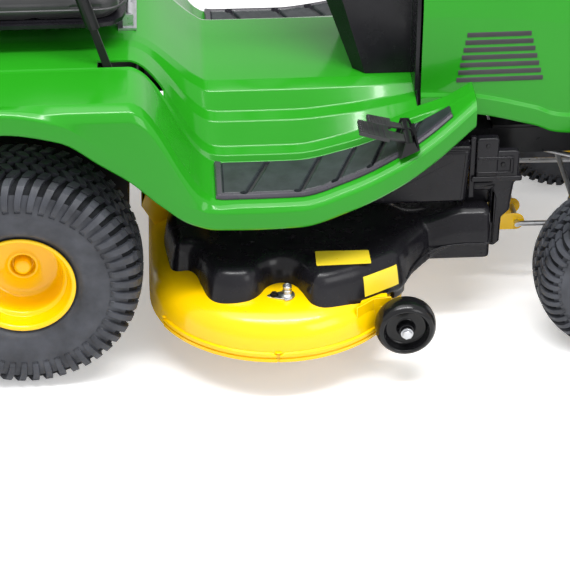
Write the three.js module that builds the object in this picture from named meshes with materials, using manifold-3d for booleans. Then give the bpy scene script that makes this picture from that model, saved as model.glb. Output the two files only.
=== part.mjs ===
// A riding lawn mower with a 107 cm rear-discharge cutting deck, as an assembly of separate parts.
// Millimetres, +X forward, +Y to the driver's left, +Z up. Everything is placed from the rear axle line on the
// ground, and the whole machine is then moved so that the origin is under the middle of its bounding box.
import * as THREE from "three";
import { mergeVertices } from "three/addons/utils/BufferGeometryUtils.js";
import Module from "manifold-3d";

const wasm = await Module();
wasm.setup();

// ---------------------------------------------------------------- driving dimensions
const gap = 0.4; // between faces that touch
const runningGap = 0.8; // around shafts, on the radius

const wheelbase = 1255;
const rearEnd = -345; // rear face of the drawbar plate
const noseOverhang = 195; // front axle to the bumper's face

const rearTyreRadius = 249;
const rearTyreWidth = 200;
const rearTrack = 720;
const rearRimRadius = 111;
const frontTyreRadius = 184;
const frontTyreWidth = 150;
const frontTrack = 686;
const frontRimRadius = 86;
const shaftRadius = 9.5;

const railOuter = 180; // half the width over the frame rails
const railWidth = 38;
const railWall = 4;
const railBottom = 375;
const railHeight = 60;

const shellWall = 4; // fender deck and hood
const archGap = 109; // tyre crown to the fender's lip
const footrestLip = 373;
const floorHeight = 428;
const platformOverArch = 53;
const tunnelHeight = 548;
const bodyHalfWidth = 455;
const footrestFront = 933;
const floorRear = 394;
const matThickness = 5;

const pedestalFront = 822;
const pedestalHalfWidth = 132;
const dashHeight = 880;

const wheelCentreX = 620; // steering wheel hub
const wheelCentreZ = 965;
const steeringRimRadius = 172;
const pinionX = 850;
const pinionZ = 330;
const pinionRadius = 20;
const sectorX = 960;
const dragArm = 80; // sector and right kingpin arms, so the drag link only ever moves parallel to itself
const trackArm = 90;
const kingpinHalf = 245;
const kingpinTop = 298;
const axlePivotZ = 330; // the sector's ball lies on this line, so tilting the axle does not steer it

const hoodGap = 10; // pedestal firewall to the hood's rear edge
const hoodTop = 905;
const hoodHalfWidth = 222; // at the rear
const hoodLip = 438;

const deckRadius = 272;
const bladeClearance = 12; // blade tip to the skirt
const bladeOffset = 3; // half the gap between the two cutting circles
const deckSkirt = 112; // height of the skirt's edge in transport
const deckDepth = 93;
const deckWall = 3;
const tyreToDeck = 7;
const ductHalfWidth = 112;
const ductReach = 28; // behind the skirt
const deckTravel = 75;
const coverTop = 266;
const coverWall = 4;
const pulleyRadius = 52;
const beltHeight = 232;
const gaugeRadius = 63.5;
const tyreToTrough = 86;
const gaugeShoulder = 12; // rounding at the wheel's edges
const gaugeInside = 33; // outer face of the gauge wheels, in from the deck's side
const gaugeWidth = 56;
const gaugeZ = 142;

const crankX = wheelbase - 145;
const crankPulleyRadius = 52;

const rockAhead = 1; // lift shaft ahead of the tyre
const rockZ = 450;
const liftSwing = THREE.MathUtils.degToRad(16); // lift arms swing this far above and below level
const liftArm = deckTravel / 2 / Math.sin(liftSwing);
const linkInside = 14; // lift links inside the rails
const leverY = 266;

const pedalX = 790;
const pedalRise = 24; // pivot above the floor

const seatHingeX = 235;
const seatBackLean = 12; // degrees back from upright
const seatHingeRise = 24; // above the platform

const axleZ = rearTyreRadius;
const frontEnd = wheelbase + noseOverhang;
const deckTop = deckSkirt + deckDepth;
const archCrown = 2 * rearTyreRadius + archGap;
const platformHeight = archCrown + platformOverArch;
const hoodRear = pedestalFront + hoodGap;
const hoodNose = frontEnd - 40;
const railInner = railOuter - railWidth;
const linkY = railInner - linkInside;
const leverLean = Math.tan(liftSwing) * (platformHeight - rockZ); // where the lever passes through the platform
const seatHingeZ = platformHeight + seatHingeRise;
const bladeRadius = deckRadius - bladeClearance;
const bladeHalfSpacing = bladeRadius + bladeOffset;
const bladeX = rearTyreRadius + deckRadius + tyreToDeck;
const deckFront = bladeX + deckRadius;
const ductRear = bladeX - deckRadius - ductReach;
const armPinX = deckFront + 268; // where the draft rod meets the deck's front arms
const gaugeFace = bladeHalfSpacing + deckRadius - gaugeInside;
const besideGauge = gaugeFace - gaugeWidth + gaugeShoulder - bladeHalfSpacing;
const gaugeX = Math.round(bladeX + Math.sqrt((deckRadius + 3) ** 2 - besideGauge ** 2) + gaugeRadius);
const rockX = rearTyreRadius + rockAhead;
const matInner = bodyHalfWidth - 169;
const hoodHingeX = frontEnd - 14;
const hoodHingeZ = 430;
const railTop = railBottom + railHeight;
const hoodBelly = hoodLip + gap;

// ---------------------------------------------------------------- materials
const paint = (color, roughness = 0.35, metalness = 0) =>
  new THREE.MeshStandardMaterial({ color, roughness, metalness });
const green = paint(0x2f9e1f, 0.25);
const yellow = paint(0xffdd00, 0.25);
const black = paint(0x1b1c1e, 0.5);
const satinBlack = paint(0x26272b, 0.4);
const rubber = paint(0x2a2b2d, 0.85);
const steel = paint(0xb8bcc0, 0.35, 0.9);
const castGrey = paint(0x85898c, 0.5, 0.6);
const clear = paint(0xe8eef2, 0.1);

// ---------------------------------------------------------------- solids
const machine = new THREE.Group();

function signedVolume(geometry) {
  const p = geometry.attributes.position;
  const index = geometry.index.array;
  const [a, b, c] = [new THREE.Vector3(), new THREE.Vector3(), new THREE.Vector3()];
  let sum = 0;
  for (let i = 0; i < index.length; i += 3) {
    a.fromBufferAttribute(p, index[i]);
    b.fromBufferAttribute(p, index[i + 1]);
    c.fromBufferAttribute(p, index[i + 2]);
    sum += a.dot(b.cross(c)) / 6;
  }
  return sum;
}

// Welds a geometry's vertices and turns its faces outwards.
function closed(geometry) {
  const bare = new THREE.BufferGeometry();
  bare.setAttribute("position", geometry.attributes.position);
  bare.setIndex(geometry.index);
  const welded = mergeVertices(bare, 1e-3);
  if (signedVolume(welded) < 0) {
    const index = welded.index.array;
    for (let i = 0; i < index.length; i += 3) [index[i], index[i + 1]] = [index[i + 1], index[i]];
  }
  return welded;
}

function solid(geometry) {
  const g = closed(geometry);
  const mesh = new wasm.Mesh({
    numProp: 3,
    vertProperties: g.attributes.position.array,
    triVerts: new Uint32Array(g.index.array),
  });
  return new wasm.Manifold(mesh);
}

const union = (...parts) => parts.map(asSolid).reduce((a, b) => a.add(b));
const cut = (body, ...tools) => tools.map(asSolid).reduce((a, b) => a.subtract(b), asSolid(body));
const asSolid = (part) => (part.isBufferGeometry ? solid(part) : part);

function asGeometry(part) {
  if (part.isBufferGeometry) return closed(part);
  const mesh = part.getMesh();
  const position = new Float32Array(mesh.numVert * 3);
  for (let i = 0; i < mesh.numVert; i++)
    position.set(mesh.vertProperties.subarray(i * mesh.numProp, i * mesh.numProp + 3), i * 3);
  const geometry = new THREE.BufferGeometry();
  geometry.setAttribute("position", new THREE.BufferAttribute(position, 3));
  geometry.setIndex(new THREE.BufferAttribute(mesh.triVerts, 1));
  return geometry;
}

function add(name, part, material) {
  const geometry = asGeometry(part).toNonIndexed();
  geometry.computeVertexNormals();
  const mesh = new THREE.Mesh(geometry, material);
  mesh.name = name;
  machine.add(mesh);
}

function box(x0, x1, y0, y1, z0, z1) {
  const g = new THREE.BoxGeometry(x1 - x0, y1 - y0, z1 - z0);
  return g.translate((x0 + x1) / 2, (y0 + y1) / 2, (z0 + z1) / 2);
}

const shapeOf = (points) => new THREE.Shape(points.map(([u, v]) => new THREE.Vector2(u, v)));
const basis = (x, y, z) => new THREE.Matrix4().makeBasis(x, y, z);
const axisX = new THREE.Vector3(1, 0, 0);
const axisY = new THREE.Vector3(0, 1, 0);
const axisZ = new THREE.Vector3(0, 0, 1);

function extruded(shape, depth) {
  return new THREE.ExtrudeGeometry(shape, { depth, bevelEnabled: false, curveSegments: 6 });
}

// A plan outline [x, y], from z0 up to z1.
const slab = (points, z0, z1) => extruded(shapeOf(points), z1 - z0).translate(0, 0, z0);

// A side outline [x, z], from y0 across to y1.
function plate(points, y0, y1) {
  const g = extruded(shapeOf(points), y1 - y0);
  return g.applyMatrix4(basis(axisX, axisZ, axisY.clone().negate())).translate(0, y1, 0);
}

// A front outline [y, z], from x0 forward to x1.
const bar = (points, x0, x1) =>
  extruded(shapeOf(points), x1 - x0).applyMatrix4(basis(axisY, axisZ, axisX)).translate(x0, 0, 0);

function rod(from, to, radius, sides = 8) {
  const a = new THREE.Vector3(...from);
  const b = new THREE.Vector3(...to);
  const g = new THREE.CylinderGeometry(radius, radius, a.distanceTo(b), sides);
  g.applyQuaternion(new THREE.Quaternion().setFromUnitVectors(axisY, b.clone().sub(a).normalize()));
  return g.translate(...a.add(b).multiplyScalar(0.5).toArray());
}

// A turned part: [radius, height] points about the Y axis, or about Z with upright().
const turned = (profile, segments) =>
  new THREE.LatheGeometry(profile.map(([r, h]) => new THREE.Vector2(r, h)), segments);
const upright = (geometry) => geometry.rotateX(Math.PI / 2);
const ring = (profile) => [...profile, profile[0]];

function disc(radius, z0, z1, x, y, segments = 16) {
  return upright(turned([[0, z0], [radius, z0], [radius, z1], [0, z1]], segments)).translate(x, y, 0);
}

function wheelDisc(radius, y0, y1, x, z, segments = 16) {
  return turned([[0, y0], [radius, y0], [radius, y1], [0, y1]], segments).translate(x, 0, z);
}

// Closes a sheet of points into a solid wall: the rows are the outer face, and the inner face lies wall inside.
function walled(rows, wall) {
  const across = rows[0].length;
  const flat = rows.flat();
  const normals = flat.map(() => new THREE.Vector3());
  const faces = [];
  for (let i = 0; i + 1 < rows.length; i++)
    for (let j = 0; j + 1 < across; j++) {
      const a = i * across + j;
      faces.push([a, a + 1, a + across], [a + 1, a + across + 1, a + across]);
    }
  for (const [a, b, c] of faces) {
    const u = flat[b].clone().sub(flat[a]);
    const n = u.cross(flat[c].clone().sub(flat[a]));
    for (const k of [a, b, c]) normals[k].add(n);
  }
  const inner = flat.map((p, k) => p.clone().addScaledVector(normals[k].normalize(), -wall));
  const size = flat.length;
  const index = faces.flatMap(([a, b, c]) => [a, b, c, a + size, c + size, b + size]);
  const last = (rows.length - 1) * across;
  const rim = [];
  for (let j = 0; j < across; j++) rim.push(j);
  for (let i = 1; i < rows.length; i++) rim.push(i * across + across - 1);
  for (let j = across - 2; j >= 0; j--) rim.push(last + j);
  for (let i = rows.length - 2; i > 0; i--) rim.push(i * across);
  rim.forEach((a, k) => {
    const b = rim[(k + 1) % rim.length];
    index.push(a, a + size, b, b, a + size, b + size);
  });
  const geometry = new THREE.BufferGeometry();
  geometry.setFromPoints([...flat, ...inner]);
  geometry.setIndex(index);
  return geometry;
}

// The value at x of a curve given by [x, value] points.
function along(curve, x) {
  const after = curve.findIndex(([at]) => at >= x);
  if (after === 0) return curve[0][1];
  if (after < 0) return curve[curve.length - 1][1];
  const [[x0, v0], [x1, v1]] = [curve[after - 1], curve[after]];
  return THREE.MathUtils.mapLinear(x, x0, x1, v0, v1);
}

const mirrored = (points) => [...points, ...points.map(([x, y]) => [x, -y]).reverse()];
const arcPoints = (cx, cy, radius, from, to, count) =>
  Array.from({ length: count + 1 }, (_, i) => {
    const angle = THREE.MathUtils.degToRad(from + ((to - from) * i) / count);
    return [cx + radius * Math.cos(angle), cy + radius * Math.sin(angle)];
  });

// A closed solid from a plan outline that shrinks or grows as it rises: levels are [height, inset] pairs.
function lofted(outline, levels) {
  const turn = THREE.ShapeUtils.area(outline.map(([u, v]) => new THREE.Vector2(u, v))) > 0 ? 1 : -1;
  const count = outline.length;
  const at = (i) => new THREE.Vector2(...outline[(i + count) % count]);
  const inwards = outline.map((_, i) => {
    const before = at(i).sub(at(i - 1)).normalize();
    const after = at(i + 1).sub(at(i)).normalize();
    const bisector = new THREE.Vector2(-(before.y + after.y), before.x + after.x).normalize();
    const lean = new THREE.Vector2(-after.y, after.x).dot(bisector);
    return bisector.multiplyScalar(turn / Math.max(lean, 0.5));
  });
  const points = levels.flatMap(([z, inset]) =>
    outline.map((_, i) => {
      const p = at(i).addScaledVector(inwards[i], inset);
      return new THREE.Vector3(p.x, p.y, z);
    }));
  const cap = (level, up) => {
    const flat = points.slice(level * count, (level + 1) * count).map((p) => [p.x, p.y * turn]);
    return wasm.triangulate([flat]).flatMap((face) => {
      const [a, b, c] = face.map((k) => k + level * count);
      return turn > 0 === up ? [a, b, c] : [a, c, b];
    });
  };
  const index = [...cap(0, false), ...cap(levels.length - 1, true)];
  for (let k = 0; k + 1 < levels.length; k++)
    for (let i = 0; i < count; i++) {
      const [a, b] = [k * count + i, k * count + ((i + 1) % count)];
      const quad = [a, b, a + count, b, b + count, a + count];
      index.push(...(turn > 0 ? quad : quad.reverse()));
    }
  const geometry = new THREE.BufferGeometry();
  geometry.setFromPoints(points);
  geometry.setIndex(index);
  return geometry;
}

const facingFront = (geometry) => geometry.applyMatrix4(basis(axisY, axisZ, axisX));
const facingSide = (geometry) => geometry.applyMatrix4(basis(axisX, axisZ, axisY.clone().negate()));

function roundedRect(x0, x1, y0, y1, radius, steps = 3) {
  return [
    ...arcPoints(x1 - radius, y0 + radius, radius, -90, 0, steps),
    ...arcPoints(x1 - radius, y1 - radius, radius, 0, 90, steps),
    ...arcPoints(x0 + radius, y1 - radius, radius, 90, 180, steps),
    ...arcPoints(x0 + radius, y0 + radius, radius, 180, 270, steps),
  ];
}

// ---------------------------------------------------------------- frame
// Two inward-facing channels with their cross members, engine plate, axle hangers and the posts for the body.
function frame() {
  const inner = railInner;
  const railRear = rearEnd + 6 + gap;
  const railFront = frontEnd - 55;
  const web = railOuter - railWall / 2;
  const channel = [
    [-railOuter, railBottom], [-inner, railBottom], [-inner, railBottom + railWall],
    [-railOuter + railWall, railBottom + railWall], [-railOuter + railWall, railTop - railWall],
    [-inner, railTop - railWall], [-inner, railTop], [-railOuter, railTop],
  ];
  const both = (make) => [make(1), make(-1)];
  const span = (side, near, far) => (side > 0 ? [near, far] : [-far, -near]);
  const hanger = (x) => bar(
    [[-44, 300], [44, 300], [58, 345], [web, railBottom + 3], [-web, railBottom + 3], [-58, 345]], x, x + 6,
  );
  const members = [
    bar(channel, railRear, railFront),
    bar(channel.map(([y, z]) => [-y, z]), railRear, railFront),
    box(railRear, railRear + 16, -web, -108, railBottom, railTop),
    box(railRear, railRear + 16, 108, web, railBottom, railTop),
    box(pedestalFront - 30, sectorX + 28, -web, web, railTop - 6, railTop),
    box(railFront - 26, railFront, -web, web, railBottom, railTop),
    box(wheelbase - 262, railFront, -web, web, railTop - 1, railTop + 6),
    disc(8, 334, railTop - 2, sectorX, -dragArm, 12),
    disc(15, 334, 338.4, sectorX, -dragArm, 12),
    hanger(wheelbase - 32),
    hanger(wheelbase + 26),
    rod([wheelbase - 38, 0, axlePivotZ], [wheelbase + 38, 0, axlePivotZ], 10),
    ...both((s) => box(railFront - 26, railFront - 6, ...span(s, 78, 86), 153, railBottom + 1)),
    ...[-250, 150].flatMap((x) => both((s) =>
      box(x, x + 20, ...span(s, railOuter - 22, railOuter - 2), railTop - 1, roofAt(x, railOuter - 2) - shellWall - 0.6))),
    ...both((s) => box(rockX - 17, rockX + 17, ...span(s, railOuter - 30, railOuter - 8), railTop - 1, rockZ + 18)),
    ...[-86, 80].flatMap((x) => both((s) => box(x, x + 6, ...span(s, railOuter - 26, railOuter - 2), axleZ + 30, railBottom + 2))),
    ...both((s) => box(700, 720, ...span(s, railOuter - 34, railOuter - 14), railTop - 1, roofAt(700, railOuter - 14) - 28)),
  ];
  const holes = [
    disc(42, railTop - 8, railTop + 7, crankX, 0),
    disc(17, railTop - 8, railTop + 1, shaftAt(railTop - 3), 0),
    rod([rockX, -190, rockZ], [rockX, 190, rockZ], 10 + runningGap, 16),
    rod([railFront - 16, -90, draftZ], [railFront - 16, 90, draftZ], 6 + runningGap, 16),
  ];
  add("frame", cut(union(...members), ...holes), black);
}

// The drawbar plate closes the rear, with the discharge chute through it and the hitch hole in its foot.
function rearPlate() {
  const outline = [[-215, 330], [215, 330], [228, 480], [228, 600], [-228, 600], [-228, 480]];
  const body = bar(outline, rearEnd, rearEnd + 6);
  const foot = box(rearEnd, rearEnd + 62, -60, 60, 330, 336);
  const mouth = ductRear - 12;
  const outside = [
    [rearEnd, axleZ + 146], [105, axleZ + 84], [mouth, 178], [mouth, 330], [100, axleZ + 251], [rearEnd, axleZ + 304],
  ];
  const inside = [
    [rearEnd - 2, axleZ + 149], [107, axleZ + 87], [mouth + 2, 181], [mouth + 2, 326], [98, axleZ + 248],
    [rearEnd - 2, axleZ + 301],
  ];
  add("rear_plate", cut(
    union(body, foot, plate(outside, -105, 105)), plate(inside, -102, 102), disc(8, 320, 345, rearEnd + 34, 0, 16),
  ), black);
}

// ---------------------------------------------------------------- rear axle and wheels
function transaxle() {
  const z = axleZ;
  const half = railOuter - 42;
  const casing = plate(
    [[-88, z - 60], [30, z - 62], [112, z - 34], [112, z + 24], [60, z + 62], [-60, z + 62], [-88, z + 40]],
    -half, half,
  );
  const tube = (side) => wheelDisc(36, side > 0 ? half - 18 : -236, side > 0 ? 236 : 18 - half, 0, z, 16);
  const bore = wheelDisc(shaftRadius + runningGap, -300, 300, 0, z, 16);
  const ears = [railOuter - 26, 2 - railOuter].map((y) => box(-79.6, 79.6, y, y + 24, z + 30, z + 50));
  add("transaxle_housing", cut(union(casing, tube(1), tube(-1), ...ears), bore), castGrey);
}

const otherHalf = (points) => points.map(([r, h]) => [r, -h]).reverse();

// A hollow tyre: outer curve over the crown, then back inside from bead to bead.
function tyreProfile(radius, width, rimRadius, wall) {
  const half = width / 2;
  const bead = rimRadius - 8.5;
  const middle = (radius + rimRadius) / 2;
  const outer = [
    [bead, half * 0.78], [rimRadius + 4, half * 0.79], [middle + 6, half], [radius - 12, half * 0.84],
    [radius, half * 0.42],
  ];
  const inner = [[radius - wall * 1.4, half * 0.42], [middle + 6, half - wall * 1.2], [bead, half * 0.78 - wall]];
  return ring([...outer, ...otherHalf(outer), ...otherHalf(inner), ...inner]);
}

// Both wheels of an axle, as tyre and rim. The rim's profile is for the left-hand wheel.
function wheelPair(name, x, track, radius, profile, rim) {
  for (const [side, word] of [[1, "left"], [-1, "right"]]) {
    const place = (points, segments) => turned(points.map(([r, h]) => [r, side * h]), segments)
      .translate(x, side * track / 2, radius);
    add(`${name}_tyre_${word}`, place(profile, 20), rubber);
    add(`${name}_rim_${word}`, place(rim, 20), yellow);
  }
}

function rearWheels() {
  const [r, barrel] = [rearRimRadius, rearRimRadius - 9.5];
  const seat = rearTyreWidth / 2 * 0.78 + 1.2;
  const rim = [
    [0, -300], [shaftRadius, -300], [shaftRadius, -120], [27, -120], [27, -18], [barrel - 5, -18],
    [barrel - 4, -seat - 4], [r, -seat - 4], [r, -seat - 0.8], [barrel, -seat],
    [barrel, seat], [r, seat + 0.8], [r, seat + 4], [barrel - 4, seat + 4], [barrel - 10, -8],
    [48, -2], [38, 16], [32, 42], [0, 42],
  ];
  wheelPair("rear", 0, rearTrack, rearTyreRadius, tyreProfile(rearTyreRadius, rearTyreWidth, r, 9), rim);
}

function frontWheels() {
  const [r, barrel] = [frontRimRadius, frontRimRadius - 9.5];
  const seat = frontTyreWidth / 2 * 0.78 + 1.2;
  const bore = shaftRadius + runningGap;
  const rim = [
    [0, 38], [bore, 38], [bore, -66], [24, -66], [24, -15], [barrel - 5, -15],
    [barrel - 4, -seat - 4], [r, -seat - 4], [r, -seat - 0.8], [barrel, -seat], [barrel, seat],
    [r, seat + 0.8], [r, seat + 4], [barrel - 4, seat + 4], [barrel - 10, -5], [40, 0], [32, 14], [27, 45], [0, 45],
  ];
  wheelPair("front", wheelbase, frontTrack, frontTyreRadius, tyreProfile(frontTyreRadius, frontTyreWidth, r, 8), rim);
}

// ---------------------------------------------------------------- steering
const shaftBase = new THREE.Vector3(pinionX, 0, pinionZ);
const shaftLine = new THREE.Vector3(wheelCentreX, 0, wheelCentreZ).sub(shaftBase);
const shaftLength = shaftLine.length();
const shaftTurn = new THREE.Quaternion().setFromUnitVectors(axisZ, shaftLine.clone().normalize());
const onShaft = (geometry) => geometry.applyQuaternion(shaftTurn).translate(...shaftBase.toArray());
const shaftAt = (z) => pinionX + ((z - pinionZ) * shaftLine.x) / shaftLine.z;
const draftZ = 165;

function steering() {
  const wheel = [upright(new THREE.TorusGeometry(steeringRimRadius - 13, 13, 6, 24)).rotateX(-Math.PI / 2)];
  for (const angle of [0, 120, 240]) {
    const spoke = box(12, steeringRimRadius - 13, -13, 13, -9, -1).rotateZ(THREE.MathUtils.degToRad(angle));
    wheel.push(spoke);
  }
  wheel.push(disc(34, -34, 6, 0, 0, 16));
  const place = (part) => part.translate(0, 0, shaftLength);
  const bored = cut(union(...wheel.map(place)), place(disc(shaftRadius + gap, -40, -4, 0, 0, 12)));
  const turnWheel = shaftMatrix();
  add("steering_wheel", bored.transform(turnWheel), satinBlack);
  const shaft = union(disc(shaftRadius, 0, shaftLength - 6, 0, 0, 12), disc(pinionRadius, 4, 44, 0, 0, 16));
  add("steering_shaft", shaft.transform(turnWheel), steel);

  // The pinion runs in a toothed slot of the sector, so both turn the same way.
  const reach = Math.hypot(sectorX - shaftAt(344), dragArm);
  const heading = THREE.MathUtils.radToDeg(Math.atan2(dragArm, shaftAt(344) - sectorX));
  const fan = (inner, outer, half) => slab([
    ...arcPoints(sectorX, -dragArm, outer, heading - half, heading + half, 7),
    ...arcPoints(sectorX, -dragArm, inner, heading + half, heading - half, 7),
  ], 340, 348);
  const blank = union(
    fan(12, reach + pinionRadius + 16, 45), disc(19, 339, 372, sectorX, -dragArm, 12),
    box(sectorX - 12, sectorX + 12, -dragArm, 12, 340, 348), disc(6, 322, 342, sectorX, 0, 12),
  );
  const slot = slab([
    ...arcPoints(sectorX, -dragArm, reach + pinionRadius + 3, heading - 40, heading + 40, 7),
    ...arcPoints(sectorX, -dragArm, reach - 24, heading + 40, heading - 40, 7),
  ], 330, 360);
  add("steering_sector", cut(blank, slot, disc(8 + runningGap, 330, 380, sectorX, -dragArm, 16)), steel);
}

function shaftMatrix() {
  return new THREE.Matrix4().compose(shaftBase, shaftTurn, new THREE.Vector3(1, 1, 1)).toArray();
}

function frontAxle() {
  const beam = box(wheelbase - 18, wheelbase + 18, -232, 232, 255, 293);
  const boss = bar([[-70, 288], [70, 288], [28, 352], [-28, 352]], wheelbase - 24, wheelbase + 24);
  const tubes = [1, -1].map((s) => disc(20, 250, kingpinTop, wheelbase, s * kingpinHalf, 12));
  const bores = [1, -1].map((s) => disc(11 + runningGap, 240, 310, wheelbase, s * kingpinHalf, 16));
  const pivot = rod([wheelbase - 60, 0, axlePivotZ], [wheelbase + 60, 0, axlePivotZ], 10 + runningGap, 16);
  add("front_axle", cut(union(beam, boss, ...tubes), ...bores, pivot), black);

  const link = (ax, ay, bx, by, z, half) => {
    const eyes = [[ax, ay], [bx, by]];
    const holes = eyes.map(([x, y]) => disc(6 + runningGap, z - 20, z + 20, x, y, 16));
    return cut(union(
      rod([ax, ay, z], [bx, by, z], half - 0.5, 10), ...eyes.map(([x, y]) => disc(13, z - half, z + half, x, y, 16)),
    ), ...holes);
  };
  for (const [side, word] of [[1, "left"], [-1, "right"]]) {
    const y = side * kingpinHalf;
    const top = kingpinTop + gap;
    const parts = [
      disc(11, frontTyreRadius, top + 4, wheelbase, y, 12),
      disc(20, frontTyreRadius + 46, 250 - gap, wheelbase, y, 12),
      disc(17, top, top + 8, wheelbase, y, 12),
      box(wheelbase - trackArm, wheelbase, y - 9, y + 9, top, top + 8),
      disc(11, top, top + 8, wheelbase - trackArm, y, 12),
      disc(6, 280, top + 2, wheelbase - trackArm, y, 12),
      rod([wheelbase, y, frontTyreRadius], [wheelbase, side * (frontTrack / 2 + 36), frontTyreRadius], shaftRadius, 12),
      rod([wheelbase, y - 12, frontTyreRadius], [wheelbase, y + 12, frontTyreRadius], 16, 12),
    ];
    if (side < 0) {
      parts.push(
        box(wheelbase - 9, wheelbase + 9, y, y + dragArm, top, top + 8),
        disc(11, top, top + 8, wheelbase, y + dragArm, 12), disc(6, top + 2, 338, wheelbase, y + dragArm, 12),
      );
    }
    add(`front_spindle_${word}`, union(...parts), steel);
  }
  const tieX = wheelbase - trackArm;
  add("tie_rod", link(tieX, kingpinHalf, tieX, -kingpinHalf, 289, 6), steel);
  add("drag_link", link(sectorX, 0, wheelbase, dragArm - kingpinHalf, axlePivotZ, 6), steel);
}

// ---------------------------------------------------------------- body
const floorCurve = [[floorRear, floorHeight], [567, floorHeight], [668, 449], [767, 485], [840, 521], [footrestFront, 578]];
const topCurve = [[255, platformHeight - 8], ...floorCurve];
const centreCurve = [[255, platformHeight], [390, tunnelHeight], [footrestFront, tunnelHeight]];
// A point of the wheel arch: degrees forward of straight up, and the distance outside the tyre.
const overTyre = (degrees, clearance) => {
  const angle = THREE.MathUtils.degToRad(degrees);
  return [(rearTyreRadius + clearance) * Math.sin(angle), axleZ + (rearTyreRadius + clearance) * Math.cos(angle)];
};
const archCurve = [
  [-53.8, 162.5], [-49.3, 146.5], [-36.3, 122.5], [-19.5, 110.5], [-2.4, 107.4], [16.5, 99.4], [31.7, 82.4],
  [43.8, 84.8], [57.1, 94],
].map(([degrees, clearance]) => overTyre(degrees, clearance));
const footrestRear = floorRear - 18;
const lipCurve = [
  ...archCurve, [footrestRear, footrestLip - 1], [567, footrestLip], [668, 394], [767, 430], [840, 466],
  [footrestFront, 523],
];
const sideCurve = [
  [567, bodyHalfWidth], [668, bodyHalfWidth - 20], [767, bodyHalfWidth - 45], [840, bodyHalfWidth - 75],
  [footrestFront, bodyHalfWidth - 125],
];

// How the body's middle rises from the floor: [distance from the middle, share of the rise].
const tunnelCurve = [[matInner - 140, 1], [matInner - 108, 0.85], [matInner - 24, 0.25], [matInner, 0]];

// Height of the body at (x, y), inside the mats.
function roofAt(x, y) {
  const top = along(topCurve, x);
  const crown = Math.max(along(centreCurve, x), top + 2);
  return top + (crown - top) * along(tunnelCurve, y);
}

function fenderDeck() {
  const stations = [
    ...archCurve.map(([x]) => x), 255, 330, footrestRear, floorRear, 567, 668, 767, 840, footrestFront,
  ].sort((a, b) => a - b);
  const rows = stations.map((x) => {
    const [lip, top, centre, side] = [lipCurve, topCurve, centreCurve, sideCurve].map((c) => along(c, x));
    const crown = Math.max(centre, top + 2);
    const half = [
      [side, lip], [side, lip + 42], [side - 9, lip + 46], [side - 17, Math.max(lip + 47, top - 12)],
      [side - 28, top], ...[...tunnelCurve].reverse().map(([y, share]) => [y, top + (crown - top) * share]), [70, crown],
    ];
    const section = [...half, [0, crown], ...half.map(([y, z]) => [-y, z]).reverse()];
    return section.map(([y, z]) => new THREE.Vector3(x, y, z));
  });
  const shell = walled(rows, shellWall);
  add("fender_deck", cut(
    shell,
    box(pedestalFront + 0.8, footrestFront + 17, 50 - matInner, matInner - 50, 300, platformHeight + 40),
    rod([shaftAt(460), 0, 460], [shaftAt(640), 0, 640], 22, 16),
    box(rockX - leverLean - 22, rockX + leverLean + 38, -leverY - 9, -leverY + 9, rockZ + 20, platformHeight + 40),
  ), green);
}

function footMats() {
  const stations = [floorRear + 6, 567, 668, 767, 840, 880];
  for (const [side, word] of [[1, "left"], [-1, "right"]]) {
    const rows = stations.map((x) => {
      const edges = [matInner + 2, along(sideCurve, x) - 30];
      const row = edges.map((y) => new THREE.Vector3(x, side * y, along(floorCurve, x) + gap * 1.2));
      return side > 0 ? row.reverse() : row;
    });
    add(`foot_mat_${word}`, walled(rows, -matThickness), black);
  }
}

function hull(points) {
  return wasm.Manifold.hull(points);
}

const dashOutline = [
  [700, tunnelHeight + gap], [pedestalFront, tunnelHeight + gap], [pedestalFront, dashHeight], [648, dashHeight],
  [592, 850],
];

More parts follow.
